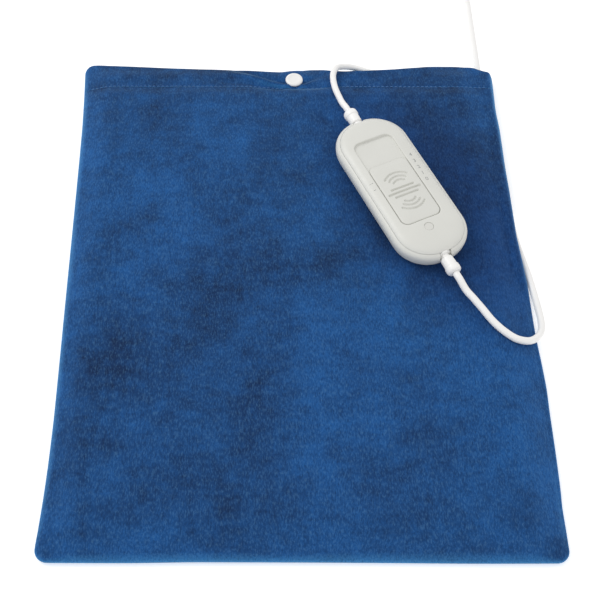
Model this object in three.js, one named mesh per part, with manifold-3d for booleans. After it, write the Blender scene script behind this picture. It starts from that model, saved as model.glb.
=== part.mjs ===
// Heating pad in a plush cover, with a slide controller in its lead. Millimetres, +Z up.
// The origin is under the middle of the pad, and the mouth of the cover is its +Y edge.
import * as THREE from "three";
import { mergeVertices } from "three/addons/utils/BufferGeometryUtils.js";
import Module from "manifold-3d";

const wasm = await Module();
wasm.setup();
const { lerp, smoothstep, degToRad } = THREE.MathUtils;

// Clearances
const gap = 0.3;
const overrun = 1;

// Driving dimensions of the cover
const coverWidth = 320;
const coverLength = 400;
const coverCornerRadius = 10;
const plushThickness = 2.5;
const hemWidth = 24;
const sideDrawIn = 1.5;
const mouthDrawIn = 6.5;
const crownHeight = 1.4;
const mouthHeight = 6.5;

// Driving dimensions of the heated inner pad
const seamMargin = 25;
const mouthRoom = 11;
const innerCornerRadius = 18;
const casingThickness = 0.8;
const waddingThickness = 1.5;
const carrierThickness = 0.5;
const wireDiameter = 1.4;
const wireRuns = 7;
const wireTurnRadius = 14;
const wireEdgeRoom = 22;

// Driving dimensions of the leads
const padLeadDiameter = 4.8;
const mainsLeadDiameter = 5;
const leadSides = 8;

// Driving dimensions of the controller
const controllerLength = 131.6;
const controllerWidth = 54.9;
const controllerEndFlat = 4.3;
const controllerCornerRadius = (controllerWidth - controllerEndFlat) / 2;
const controllerHeight = 17.8;
const widestHeight = 10;
const creaseRise = 4;
const creaseInset = 2.8;
const creaseStep = 0.5;
const footInset = 7;
const crownRadius = 2.4;
const crownInset = controllerCornerRadius - crownRadius;
const wall = 2;
const controllerFromSide = 84;
const controllerFromMouth = 133.1;
const controllerTurn = degToRad(24.45);

// Driving dimensions of the slider
const trackSideRoom = 24.2;
const trackWidth = controllerWidth - trackSideRoom;
const trackEndRoom = 53.1;
const trackLength = controllerLength - trackEndRoom;
const trackCentreY = 3.9;
const trackRadius = 5.5;
const trackDepth = 2;
const trackFloorThickness = 1.6;
const trackWall = 1.5;
const knobShare = 0.7;
const knobLength = trackLength * knobShare;
const knobGap = 0.4;
const knobEndRoom = 0.75;
const knobTravel = trackLength - knobLength - 2 * knobGap - knobEndRoom;
const knobTopRounding = 1;
const stemLength = 8;
const stemWidth = 5;
const stemSink = 0.6;

// Heights of the layers, from the floor up
const frontSeamUnder = plushThickness + gap;
const casingUnder = plushThickness + gap;
const lowerWaddingUnder = casingUnder + casingThickness + gap;
const carrierUnder = lowerWaddingUnder + waddingThickness + gap;
const wireHeight = carrierUnder + carrierThickness + gap + wireDiameter / 2;
const upperWaddingUnder = wireHeight + wireDiameter / 2 + gap;
const casingTopUnder = upperWaddingUnder + waddingThickness + gap;
const plateauUnder = casingTopUnder + casingThickness + gap;
const plateauTop = plateauUnder + plushThickness;
const mouthUnder = frontSeamUnder + mouthHeight;

// Places across the pad
const halfWidth = coverWidth / 2;
const halfLength = coverLength / 2;
const hemStart = halfLength - hemWidth;
const innerHalfWidth = halfWidth - seamMargin;
const innerNear = -halfLength + seamMargin;
const innerFar = hemStart - mouthRoom;
const controllerX = halfWidth - controllerFromSide;
const controllerY = halfLength - controllerFromMouth;

// The snap at the mouth
const snapX = 4.1;
const snapFromMouth = 17;
const snapY = halfLength - snapFromMouth;
const snapCapRadius = 6.7;
const snapBackRadius = 6.2;
const snapBodyRadius = 6;
const snapKnobRadius = 3.1;
const snapPinRadius = 1.5;
const snapPlate = 0.7;
const snapCapDome = 1.7;
const snapStudRise = 2;
const snapSegments = 16;
const snapDip = 2.8;
const dipFlat = 7.6;
const dipFootAcross = 42;
const dipFootInward = 13.5;
const dipFootOutward = 34;

// The ridge where the mains lead passes under the right edge of the cover
const ridgeInset = 10;
const ridgeEntryOverhang = 2;
const ridgeX = halfWidth - ridgeInset;
const ridgeEntryX = halfWidth + ridgeEntryOverhang;
const ridgeRiseFrom = controllerY - 66.9;
const ridgeRiseTo = controllerY - 48.9;
const ridgeTurnFrom = controllerY - 26.9;
const ridgeTurnTo = controllerY + 33.1;
const ridgeFlat = 5;
const ridgeFoot = 14;
const ridgeHeight = mainsLeadDiameter + 2 * gap;

// The flat bed under the controller
const bedMargin = 16;
const bedFade = 45;

// Materials
const material = (color, roughness, metalness = 0) =>
  new THREE.MeshStandardMaterial({ color, roughness, metalness });
const plush = material(0x2a4f82, 1);
const casingCloth = material(0xd9d6cc, 0.9);
const wadding = material(0xefece4, 1);
const felt = material(0xe4dcc8, 1);
const heaterSleeve = material(0xb9462f, 0.6);
const housingGrey = material(0xdadad5, 0.45);
const whiteVinyl = material(0xf4f4f1, 0.4);
const boardGreen = material(0x2e6b3f, 0.5);
const blackPlastic = material(0x222325, 0.5);
const yellowFilm = material(0xd9b13a, 0.45);
const ceramic = material(0xe9e7df, 0.7);
const clearRed = material(0xc23b2b, 0.2);
const copper = material(0xb87333, 0.35, 1);
const nickel = material(0xc9c9cc, 0.25, 1);

// A three.js geometry as a manifold solid, and back
function solidOf(geometry) {
  const bare = geometry.clone();
  bare.deleteAttribute("normal");
  bare.deleteAttribute("uv");
  const merged = mergeVertices(bare, 1e-4);
  return new wasm.Manifold(
    new wasm.Mesh({
      numProp: 3,
      vertProperties: new Float32Array(merged.attributes.position.array),
      triVerts: new Uint32Array(merged.index.array),
    })
  );
}

function geometryOf(solid) {
  const mesh = solid.getMesh();
  const geometry = new THREE.BufferGeometry();
  geometry.setAttribute("position", new THREE.BufferAttribute(new Float32Array(mesh.vertProperties), 3));
  geometry.setIndex(new THREE.BufferAttribute(new Uint32Array(mesh.triVerts), 1));
  geometry.computeVertexNormals();
  return geometry;
}

function indexed(points, faces) {
  const geometry = new THREE.BufferGeometry().setFromPoints(points);
  geometry.setIndex(faces);
  geometry.computeVertexNormals();
  return geometry;
}

const joined = (first, ...others) => others.reduce((all, next) => all.add(next), first);
const cutBy = (first, ...others) => others.reduce((all, next) => all.subtract(next), first);

// Basic forms
function roundedRect(width, length, radius, centreX = 0, centreY = 0) {
  const x = width / 2;
  const y = length / 2;
  const shape = new THREE.Shape();
  shape.absarc(centreX + x - radius, centreY + y - radius, radius, 0, Math.PI / 2);
  shape.absarc(centreX - x + radius, centreY + y - radius, radius, Math.PI / 2, Math.PI);
  shape.absarc(centreX - x + radius, centreY - y + radius, radius, Math.PI, 1.5 * Math.PI);
  shape.absarc(centreX + x - radius, centreY - y + radius, radius, 1.5 * Math.PI, 2 * Math.PI);
  return shape;
}

function slab(shape, from, to, curveSegments = 5) {
  const geometry = new THREE.ExtrudeGeometry(shape, { depth: to - from, bevelEnabled: false, curveSegments });
  return solidOf(geometry.translate(0, 0, from));
}

function block(width, length, from, to, x = 0, y = 0) {
  const geometry = new THREE.BoxGeometry(width, length, to - from);
  return solidOf(geometry.translate(x, y, (from + to) / 2));
}

function post(radius, from, to, x = 0, y = 0, sides = 12) {
  const geometry = new THREE.CylinderGeometry(radius, radius, to - from, sides);
  return solidOf(geometry.rotateX(Math.PI / 2).translate(x, y, (from + to) / 2));
}

// A profile of [radius, height] points turned about Z
function turned(profile, segments = 16) {
  const points = profile.map(([radius, height]) => new THREE.Vector2(radius, height));
  return new THREE.LatheGeometry(points, segments).rotateX(Math.PI / 2);
}

// Rings of points joined from the first to the last and closed at both ends
function loft(rings) {
  const count = rings[0].length;
  const points = rings.flat();
  const last = points.length - count;
  const faces = [];
  for (let k = 0; k < last; k += count) {
    for (let i = 0; i < count; i += 1) {
      const a = k + i;
      const b = k + ((i + 1) % count);
      faces.push(a, b, b + count, a, b + count, a + count);
    }
  }
  for (let i = 1; i + 1 < count; i += 1) {
    faces.push(0, i + 1, i, last, last + i, last + i + 1);
  }
  return indexed(points, faces);
}

// A tube through points that run mostly level, with square ends
function levelTube(points, radius, sides) {
  const up = new THREE.Vector3(0, 0, 1);
  const rings = points.map((point, i) => {
    const before = points[Math.max(i - 1, 0)];
    const after = points[Math.min(i + 1, points.length - 1)];
    const along = after.clone().sub(before).normalize();
    const across = along.clone().cross(up).normalize();
    const over = across.clone().cross(along);
    return Array.from({ length: sides }, (_, k) => {
      const angle = (2 * Math.PI * k) / sides;
      const spoke = across.clone().multiplyScalar(Math.cos(angle)).addScaledVector(over, Math.sin(angle));
      return point.clone().addScaledVector(spoke, radius);
    });
  });
  return loft(rings.map((r) => r.reverse()));
}

// A cord as a circle extruded along a smooth path
function cordTube(points, diameter, steps, sides = leadSides) {
  const path = new THREE.CatmullRomCurve3(points.map((p) => new THREE.Vector3(...p)), false, "centripetal");
  const circle = Array.from({ length: sides }, (_, k) => {
    const angle = (2 * Math.PI * k) / sides;
    return new THREE.Vector2(Math.cos(angle), Math.sin(angle)).multiplyScalar(diameter / 2);
  });
  return new THREE.ExtrudeGeometry(new THREE.Shape(circle), { steps, extrudePath: path, bevelEnabled: false });
}

// Outline of the cover: full size at the corners, drawn in along the sides and the mouth
function coverShape() {
  const r = coverCornerRadius;
  const shape = new THREE.Shape();
  shape.absarc(halfWidth - r, -halfLength + r, r, -Math.PI / 2, 0);
  shape.quadraticCurveTo(halfWidth - 2 * sideDrawIn, 0, halfWidth, halfLength - r);
  shape.absarc(halfWidth - r, halfLength - r, r, 0, Math.PI / 2);
  shape.quadraticCurveTo(0, halfLength - 2 * mouthDrawIn, -halfWidth + r, halfLength);
  shape.absarc(-halfWidth + r, halfLength - r, r, Math.PI / 2, Math.PI);
  shape.quadraticCurveTo(-halfWidth + 2 * sideDrawIn, 0, -halfWidth, -halfLength + r);
  shape.absarc(-halfWidth + r, -halfLength + r, r, Math.PI, 1.5 * Math.PI);
  return shape;
}
const coverPrism = slab(coverShape(), -overrun, plateauTop + crownHeight + ridgeHeight + overrun, 7);

// How far the cover rides over the mains lead
function ridge(x, y) {
  const crest = lerp(ridgeEntryX, ridgeX, smoothstep(y, ridgeTurnFrom, ridgeTurnTo));
  const along = smoothstep(y, ridgeRiseFrom, ridgeRiseTo);
  return ridgeHeight * along * (1 - smoothstep(Math.abs(x - crest), ridgeFlat, ridgeFoot));
}

// How far the snap pulls the front of the mouth down
function dip(x, y) {
  const foot = y < snapY ? dipFootInward : dipFootOutward;
  const across = Math.max(Math.abs(x - snapX) - dipFlat, 0) / (dipFootAcross - dipFlat);
  const inward = Math.max(Math.abs(y - snapY) - dipFlat, 0) / (foot - dipFlat);
  return snapDip * (1 - smoothstep(Math.hypot(across, inward), 0, 1));
}

// Distance from the controller's long axis
function fromController(x, y) {
  const reach = (controllerLength - controllerWidth) / 2;
  const dx = x - controllerX;
  const dy = y - controllerY;
  const along = dy * Math.cos(controllerTurn) - dx * Math.sin(controllerTurn);
  const across = dy * Math.sin(controllerTurn) + dx * Math.cos(controllerTurn);
  return Math.hypot(across, Math.max(Math.abs(along) - reach, 0));
}

// Underside of the front of the cover, over the inner pad, the mouth and the mains lead
function frontUnder(x, y) {
  const side = smoothstep(halfWidth - Math.abs(x), 0, seamMargin);
  const near = smoothstep(y + halfLength, 0, seamMargin);
  const full = lerp(plateauUnder, mouthUnder, smoothstep(y, innerFar, hemStart));
  const bed = controllerWidth / 2 + bedMargin;
  const swell = Math.cos((Math.PI / 2) * (x / halfWidth)) * Math.cos((Math.PI / 2) * (y / halfLength));
  const crown = crownHeight * swell * smoothstep(fromController(x, y), bed, bed + bedFade);
  return lerp(frontSeamUnder, full - dip(x, y), side * near) + crown * side * near + ridge(x, y);
}

// A sheet of plush of even thickness whose underside follows a height function on grid lines
function plushSheet(xs, ys, under, thickness) {
  const points = [];
  const faces = [];
  const at = (i, j, top) => (top * xs.length + i) * ys.length + j;
  for (const top of [0, 1]) {
    for (const x of xs) {
      for (const y of ys) points.push(new THREE.Vector3(x, y, under(x, y) + top * thickness));
    }
  }
  const quad = (a, b, c, d) => faces.push(a, b, c, a, c, d);
  for (let i = 0; i + 1 < xs.length; i += 1) {
    for (let j = 0; j + 1 < ys.length; j += 1) {
      quad(at(i, j, 1), at(i + 1, j, 1), at(i + 1, j + 1, 1), at(i, j + 1, 1));
      quad(at(i, j, 0), at(i, j + 1, 0), at(i + 1, j + 1, 0), at(i + 1, j, 0));
    }
  }
  const lastX = xs.length - 1;
  const lastY = ys.length - 1;
  for (let i = 0; i < lastX; i += 1) {
    quad(at(i, 0, 0), at(i + 1, 0, 0), at(i + 1, 0, 1), at(i, 0, 1));
    quad(at(i, lastY, 0), at(i, lastY, 1), at(i + 1, lastY, 1), at(i + 1, lastY, 0));
  }
  for (let j = 0; j < lastY; j += 1) {
    quad(at(0, j, 0), at(0, j, 1), at(0, j + 1, 1), at(0, j + 1, 0));
    quad(at(lastX, j, 0), at(lastX, j + 1, 0), at(lastX, j + 1, 1), at(lastX, j, 1));
  }
  return solidOf(indexed(points, faces)).intersect(coverPrism);
}

// Grid lines: even ones over the plateau, closer ones at the edges, the snap and the ridge
const evenly = (from, to, count) => Array.from({ length: count }, (_, k) => lerp(from, to, k / (count - 1)));
const fallShares = [0, 0.3, 0.6];
const ridgeLines = [
  ridgeX - ridgeFoot,
  ridgeX - (ridgeFoot + ridgeFlat) / 2,
  ridgeX - ridgeFlat,
  ridgeX,
  ridgeX + ridgeFlat,
  halfWidth,
];
const dipMiddle = (dipFlat + dipFootAcross) / 2;
const snapLines = [-dipFootAcross, -dipMiddle, -dipFlat, dipFlat, dipMiddle, dipFootAcross].map((d) => snapX + d);
const leftLines = [
  ...fallShares.map((share) => -halfWidth + share * seamMargin),
  ...evenly(-innerHalfWidth, snapLines[0], 5).slice(0, -1),
];
const rightLines = evenly(snapLines.at(-1), ridgeLines[0], 5).slice(1, -1);
const frontXs = [...leftLines, ...snapLines, ...rightLines, ...ridgeLines];
const backXs = [-halfWidth, 0, ...ridgeLines];
const ridgeRows = [...evenly(ridgeRiseFrom, ridgeRiseTo, 3), ...evenly(ridgeTurnFrom, ridgeTurnTo, 5)];
const mouthRows = evenly(innerFar, hemStart - gap, 4);
const nearRows = [
  ...fallShares.map((share) => -halfLength + share * seamMargin),
  ...evenly(innerNear, ridgeRiseFrom, 8).slice(0, -1),
];
const frontYs = [...nearRows, ...ridgeRows, lerp(ridgeTurnTo, innerFar, 0.5), ...mouthRows];
const backYs = [-halfLength, ...ridgeRows, hemStart - gap];
const hemShares = [0, 0.25, 0.6, 0.8, 1];
const hemYs = hemShares.map((share) => lerp(hemStart, halfLength, share));

const snapSeat = mouthUnder - snapDip;
const hemPocket = snapPlate + 2 * gap;

function coverFrontPanel() {
  return plushSheet(frontXs, frontYs, frontUnder, plushThickness);
}

function coverBackPanel() {
  return plushSheet(backXs, backYs, ridge, plushThickness);
}

function coverFrontHem() {
  const pinHole = post(snapPinRadius + gap, snapSeat - overrun, snapSeat + plushThickness + overrun, snapX, snapY);
  return plushSheet(frontXs, hemYs, frontUnder, plushThickness).subtract(pinHole);
}

function coverBackHem() {
  const band = plushSheet(backXs, [hemStart, halfLength], ridge, plushThickness);
  const pinHole = post(snapPinRadius + gap, -overrun, plushThickness + overrun, snapX, snapY);
  const pocket = post(snapBackRadius + gap, -overrun, hemPocket, snapX, snapY, snapSegments);
  return cutBy(band, pinHole, pocket);
}

// Snap: a cap and socket on the front hem, a stud and back cap on the back hem
const studUnder = plushThickness + gap;
const studTop = studUnder + snapPlate + snapStudRise;
const socketTop = snapSeat - gap;
const socketUnder = studUnder + snapPlate + gap;
const capUnder = snapSeat + plushThickness + gap;

function snapBackCap() {
  return turned([
    [0, gap],
    [snapBackRadius - gap, gap],
    [snapBackRadius, gap + snapPlate],
    [snapPinRadius, gap + snapPlate],
    [snapPinRadius, studUnder + snapPlate / 2],
    [0, studUnder + snapPlate / 2],
  ], snapSegments);
}

function snapStud() {
  return turned([
    [snapPinRadius + gap, studUnder],
    [snapBodyRadius, studUnder],
    [snapBodyRadius, studUnder + snapPlate],
    [snapKnobRadius - gap, studUnder + snapPlate],
    [snapKnobRadius, studTop - snapPlate],
    [snapKnobRadius - gap, studTop],
    [0, studTop],
    [0, studUnder + snapPlate],
    [snapPinRadius + gap, studUnder + snapPlate],
    [snapPinRadius + gap, studUnder],
  ], snapSegments);
}

function snapSocket() {
  return turned([
    [snapKnobRadius + gap, socketUnder],
    [snapBodyRadius, socketUnder],
    [snapBodyRadius, socketTop],
    [snapPinRadius + gap, socketTop],
    [snapPinRadius + gap, studTop + gap],
    [snapKnobRadius + gap, studTop + gap],
    [snapKnobRadius + gap, socketUnder],
  ], snapSegments);
}

function snapCap() {
  const dimple = snapCapDome / 4;
  return turned([
    [0, studTop + gap],
    [snapPinRadius, studTop + gap],
    [snapPinRadius, capUnder],
    [snapCapRadius, capUnder],
    [snapCapRadius, capUnder + snapCapDome / 2],
    [snapCapRadius - snapCapDome / 2, capUnder + snapCapDome],
    [snapCapRadius / 2, capUnder + snapCapDome],
    [snapCapRadius / 3, capUnder + snapCapDome - dimple],
    [0, capUnder + snapCapDome - dimple],
  ], snapSegments);
}

// Inner pad: casing, wadding, carrier, wire, cut-outs and the gland of the pad lead
const glandFromSide = 35;
const glandX = -innerHalfWidth + glandFromSide;
const bayWidth = 16;
const bayDepth = 11;
const glandNeckRadius = 2.2;
const glandCollarRadius = 3;
const glandCollarLength = 5;
const glandBlockWidth = 12;
const glandBlockLength = 5;
const cutOutWidth = 6;
const cutOutLength = 14;
const cutOutUnder = wireHeight - wireDiameter / 2;
const cutOutHeight = casingTopUnder - gap - cutOutUnder;
const cutOutPlaceShares = [[1, 0.62], [4, 0.3]];
const linerInset = casingThickness + gap;
const innerMiddleY = (innerNear + innerFar) / 2;

function innerShape(inset) {
  const width = 2 * (innerHalfWidth - inset);
  const length = innerFar - innerNear - 2 * inset;
  return roundedRect(width, length, innerCornerRadius - inset, 0, innerMiddleY);
}

const glandBay = block(bayWidth, bayDepth + linerInset, -overrun, plateauTop, glandX,
  innerFar - (bayDepth + linerInset) / 2);
const glandHeight = lowerWaddingUnder + glandCollarRadius - 2 * gap;

const wireFirstX = glandX + glandBlockWidth / 4;
const wirePitch = (innerHalfWidth - wireEdgeRoom - wireFirstX) / (wireRuns - 1);
const wireRunX = (k) => wireFirstX + wirePitch * k;
const wireBendShares = [0.2, 0.8];

function cutOutBlock([run, share], grow, extra) {
  const shape = roundedRect(cutOutWidth + 2 * grow, cutOutLength + 2 * grow, cutOutWidth / 6,
    wireRunX(run) + wirePitch / 2, lerp(innerNear, innerFar, share));
  return slab(shape, cutOutUnder - extra, cutOutUnder + cutOutHeight + extra, 3);
}

function linerLayer(under, thickness) {
  return slab(innerShape(linerInset), under, under + thickness).subtract(glandBay);
}

function waddingTop() {
  return cutBy(linerLayer(upperWaddingUnder, waddingThickness),
    ...cutOutPlaceShares.map((where) => cutOutBlock(where, gap, overrun)));
}

function innerCasingTop() {
  const tray = slab(innerShape(0), lowerWaddingUnder, casingTopUnder + casingThickness);
  const inside = slab(innerShape(casingThickness), lowerWaddingUnder - overrun, casingTopUnder);
  const neck = new THREE.CylinderGeometry(glandNeckRadius + gap, glandNeckRadius + gap, 2 * linerInset + overrun, 12);
  return cutBy(tray, inside, solidOf(neck.translate(glandX, innerFar, glandHeight)));
}

function padGland() {
  const blockFar = innerFar - linerInset;
  const reach = innerFar + gap + glandCollarLength;
  const neck = new THREE.CylinderGeometry(glandNeckRadius, glandNeckRadius, reach - blockFar + overrun, 12);
  const collar = new THREE.CylinderGeometry(glandCollarRadius - gap, glandCollarRadius, glandCollarLength, 12);
  return joined(
    block(glandBlockWidth, glandBlockLength, lowerWaddingUnder, casingTopUnder - gap, glandX,
      blockFar - glandBlockLength / 2),
    solidOf(neck.translate(glandX, (reach + blockFar - overrun) / 2, glandHeight)),
    solidOf(collar.translate(glandX, reach - glandCollarLength / 2, glandHeight))
  );
}

// One wire: down and up the pad in runs, then back along the near edge and up the left side
function heatingWire() {
  const points = [];
  const put = (x, y) => points.push(new THREE.Vector3(x, y, wireHeight));
  const arc = (x, y, radiusX, radiusY, from, to) => {
    for (let k = 0; k <= 6; k += 1) {
      const angle = lerp(from, to, k / 6);
      put(x + radiusX * Math.cos(angle), y + radiusY * Math.sin(angle));
    }
  };
  const top = innerFar - bayDepth - linerInset - wireTurnRadius - gap;
  const bottom = innerNear + wireEdgeRoom + wireTurnRadius;
  const wireStart = innerFar - linerInset - glandBlockLength - gap;
  const half = wirePitch / 2;
  put(wireRunX(0), wireStart);
  for (let k = 0; k + 1 < wireRuns; k += 1) {
    const middle = wireRunX(k) + half;
    if (k % 2) arc(middle, top - wireTurnRadius, half, wireTurnRadius, Math.PI, 0);
    else arc(middle, bottom, half, wireTurnRadius, Math.PI, 2 * Math.PI);
  }
  const last = wireRunX(wireRuns - 1);
  const returnY = bottom - wireTurnRadius - wireEdgeRoom / 2;
  const returnX = -innerHalfWidth + wireEdgeRoom / 2;
  const round = wireTurnRadius / 2;
  arc(last - round, returnY + round, round, round, 0, -Math.PI / 2);
  arc(returnX + round, returnY + round, round, round, -Math.PI / 2, -Math.PI);
  const endX = glandX - glandBlockWidth / 4;
  put(returnX, top - 2 * wireTurnRadius);
  put(lerp(returnX, endX, wireBendShares[0]), top - wireTurnRadius);
  put(lerp(returnX, endX, wireBendShares[1]), top);
  put(endX, wireStart - wireTurnRadius / 2);
  put(endX, wireStart);
  return levelTube(points, wireDiameter / 2, 6);
}

// Controller housing: rings of a rounded outline, inset and raised by shares of the named sizes
const ringSteps = 8;
const corners = [[1, 1], [-1, 1], [-1, -1], [1, -1]];
function ring(inset, height) {
  const x = controllerWidth / 2 - inset;
  const y = controllerLength / 2 - inset;
  const radius = controllerCornerRadius - inset;
  return corners.flatMap(([sx, sy], corner) =>
    Array.from({ length: ringSteps + 1 }, (_, k) => {
      const angle = (Math.PI / 2) * (corner + k / ringSteps);
      return new THREE.Vector3(
        sx * (x - radius) + radius * Math.cos(angle),
        sy * (y - radius) + radius * Math.sin(angle),
        height
      );
    })
  );
}

const creaseHeight = widestHeight + creaseRise;
const upperUnder = creaseHeight + gap;
const upperInset = creaseInset + creaseStep;
const lowerShares = [[1, 0], [0.46, 0.16], [0.13, 0.48], [0, 1]];
const bandShares = [[0.25, 0.5], [1, 1]];
const upperShares = [[0, 0], [0.02, 0.2], [0.06, 0.42], [0.23, 0.71], [0.52, 0.88], [1, 1]];

const innerUpperShares = [[0, 0], [0.06, 0.42], [0.52, 0.88], [1, 1]];

function lowerLoft(inset, floor, rise) {
  const side = lowerShares.map(([s, t]) => ring(footInset * s + inset, lerp(floor, widestHeight, t)));
  const band = bandShares.map(([s, t]) => ring(creaseInset * s + inset, lerp(widestHeight, creaseHeight + rise, t)));
  return solidOf(loft([...side, ...band]));
}

function upperLoft(shares, inset, from, to) {
  return solidOf(loft(shares.map(([s, t]) => ring(lerp(upperInset + inset, crownInset, s), lerp(from, to, t)))));
}

// Fixings and fittings inside the controller
const boardThickness = 1.6;
const boardUnder = 8.5;
const boardTop = boardUnder + boardThickness;
const boardSideRoom = 20.9;
const boardWidth = controllerWidth - boardSideRoom;
const boardEndRoom = 49.6;
const boardLength = controllerLength - boardEndRoom;
const boardTongueReach = 6;
const boardTongueLength = boardLength + 2 * boardTongueReach;
const pillarRadius = 2.2;
const screwPostRadius = 3.2;
const screwFromSide = 14.45;
const screwX = controllerWidth / 2 - screwFromSide;
const screwFromEnd = 19.8;
const screwY = controllerLength / 2 - screwFromEnd;
const pillarX = screwX - wall / 2;
const pillarFromScrew = 10;
const pillarY = screwY - pillarFromScrew;
const screwShankRadius = 1.3;
const boardTongueWidth = 2 * (screwX - screwPostRadius - screwShankRadius);
const screwHeadRadius = 2.75;
const screwHeadDepth = 1.4;
const screwLength = 9;
const tongueDepth = 1.6;
const tongueThickness = 1;
const knobCentreY = trackCentreY - trackLength / 2 + knobGap + knobLength / 2;
const trackFloor = controllerHeight - trackDepth;
const trackUnder = trackFloor - trackFloorThickness;
const lensFromEnd = 23.6;
const lensY = lensFromEnd - controllerLength / 2;
const lensRadius = 3.2;
const lensFlange = 1;
const lensFlangeThickness = 0.7;
const ledRadius = 2.4;
const ledDomeShares = [0.6, 0.12];

// Glands of the controller, drawn along +Y from its middle
const glandAxisHeight = 9.2;
const glandRootRadius = 4.3;
const glandTipRadius = 4.9;
const glandWaistRadius = 3.2;
const glandFlangeRadius = 5.2;
const glandFlangeLength = 1.6;
const glandLength = 12.4;
const glandChamfer = 1;
const glandNotchWidth = 9;
const glandSwellShares = [0.3, 0.4];
const wallFace = controllerLength / 2;
const glandFlangeFar = wallFace - wall;
const glandFlangeNear = glandFlangeFar - glandFlangeLength;
const glandTip = wallFace + gap + glandLength;

const bothEnds = [1, -1];

function axialPost(radius, from, to, sides = 16) {
  const geometry = new THREE.CylinderGeometry(radius, radius, to - from, sides);
  return solidOf(geometry.translate(0, (from + to) / 2, glandAxisHeight));
}

const glandRooms = () =>
  bothEnds.map((end) =>
    axialPost(glandFlangeRadius + gap, glandFlangeNear - gap, glandFlangeFar).rotate([0, 0, end > 0 ? 0 : 180])
  );

function controllerLowerShell() {
  const cavity = lowerLoft(wall, wall, overrun);
  const pillars = corners.map(([sx, sy]) =>
    post(pillarRadius, wall - gap, boardUnder - gap, sx * pillarX, sy * pillarY)
  );
  const notches = bothEnds.flatMap((end) => {
    const from = glandFlangeFar;
    const to = wallFace + overrun;
    const round = axialPost(glandWaistRadius + gap, from, to);
    const above = block(glandNotchWidth, to - from, glandAxisHeight, creaseHeight + overrun, 0, (from + to) / 2);
    return [round, above].map((s) => (end > 0 ? s : s.rotate([0, 0, 180])));
  });
  const screwHoles = corners.flatMap(([sx, sy]) => {
    const x = sx * screwX;
    const y = sy * screwY;
    const sink = new THREE.CylinderGeometry(screwShankRadius + gap, screwHeadRadius + 2 * gap, screwHeadDepth + gap, 12);
    const sinkAt = solidOf(sink.rotateX(Math.PI / 2).translate(x, y, (screwHeadDepth + gap) / 2));
    return [post(screwShankRadius + gap, -overrun, wall + overrun, x, y), sinkAt];
  });
  return cutBy(joined(lowerLoft(0, 0, 0).subtract(cavity), ...pillars), ...notches, ...screwHoles, ...glandRooms());
}

function controllerUpperShell() {
  const outer = upperLoft(upperShares, 0, upperUnder, controllerHeight);
  const inner = upperLoft(innerUpperShares, wall, upperUnder - overrun, controllerHeight - wall);
  const tongueInset = creaseInset + wall + gap;
  const tongueRings = (inset, from, to) =>
    solidOf(loft([from, to].map((height) => ring(inset, height))));
  const tongue = tongueRings(tongueInset, creaseHeight - tongueDepth, upperUnder + wall / 2)
    .subtract(tongueRings(tongueInset + tongueThickness, creaseHeight - tongueDepth - overrun, upperUnder + wall));
  const track = (grow) =>
    roundedRect(trackWidth + 2 * grow, trackLength + 2 * grow, trackRadius + grow, 0, trackCentreY);
  const well = slab(track(trackWall), trackUnder, controllerHeight).intersect(outer);
  const posts = corners.map(([sx, sy]) =>
    post(screwPostRadius, wall + gap, controllerHeight - wall, sx * screwX, sy * screwY)
  );
  const slotLength = stemLength + knobTravel + 2 * gap;
  const slotCentre = knobCentreY + knobTravel / 2;
  const screwBores = corners.map(([sx, sy]) =>
    post(screwShankRadius + gap, wall, screwLength + wall + gap, sx * screwX, sy * screwY)
  );
  return cutBy(
    joined(outer.subtract(inner), tongue, well, ...posts),
    slab(track(0), trackFloor, controllerHeight + overrun),
    block(stemWidth + 2 * gap, slotLength, trackUnder - overrun, trackFloor + overrun, 0, slotCentre),
    post(lensRadius + gap, trackUnder, controllerHeight + overrun, 0, lensY, 20),
    ...screwBores,
    ...glandRooms()
  );
}

// Knob: a crowned plate with straight grooves in the middle, bowed grooves to each side and a stem below
const knobUnder = trackFloor + gap;
const knobCrown = 0.6;
const knobEdgeShare = 0.3;
const grooveWidth = 1.1;
const grooveFloor = 0.1;
const groovePitch = 3.3;
const grooveEndRooms = [12.7, 5.7, 12.7];
const groovesBelowMiddle = 1.1;
const bowRadii = [6.2, 9.2, 12.3];
const bowCentre = 5.4;
const bowHalfAngle = degToRad(44);
const stemTop = knobUnder + stemSink;

function knobRing(inset, height) {
  const width = trackWidth - 2 * (knobGap + inset);
  const radius = Math.max(trackRadius - knobGap - inset, knobTopRounding);
  const shape = roundedRect(width, knobLength - 2 * inset, radius);
  return shape.getPoints(4).map((p) => new THREE.Vector3(p.x, p.y, height));
}

function sliderKnob() {
  const top = controllerHeight - knobTopRounding / 2;
  const body = loft([
    knobRing(0, knobUnder),
    knobRing(0, top - knobTopRounding),
    knobRing(knobTopRounding * knobEdgeShare, top - knobTopRounding * knobEdgeShare),
    knobRing(knobTopRounding, top),
    knobRing(trackWidth / 4, top + knobCrown),
  ]);
  const from = top - grooveFloor;
  const to = top + knobCrown + overrun;
  const straight = grooveEndRooms.map((room, k) =>
    slab(roundedRect(trackWidth - room, grooveWidth, grooveWidth / 2 - gap / 4, 0, (k - 1) * groovePitch), from, to, 2)
      .translate([0, -groovesBelowMiddle, 0])
  );
  const bows = bothEnds.flatMap((end) =>
    bowRadii.map((radius) => {
      const middle = end > 0 ? Math.PI / 2 : -Math.PI / 2;
      const shape = new THREE.Shape();
      shape.absarc(0, end * bowCentre, radius + grooveWidth / 2, middle - bowHalfAngle, middle + bowHalfAngle);
      shape.absarc(0, end * bowCentre, radius - grooveWidth / 2, middle + bowHalfAngle, middle - bowHalfAngle, true);
      return slab(shape, from, to, 6);
    })
  );
  const stem = block(stemWidth, stemLength, stemFoot, stemTop);
  return joined(cutBy(solidOf(body), ...straight, ...bows), stem).translate([0, knobCentreY, 0]);
}

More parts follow.
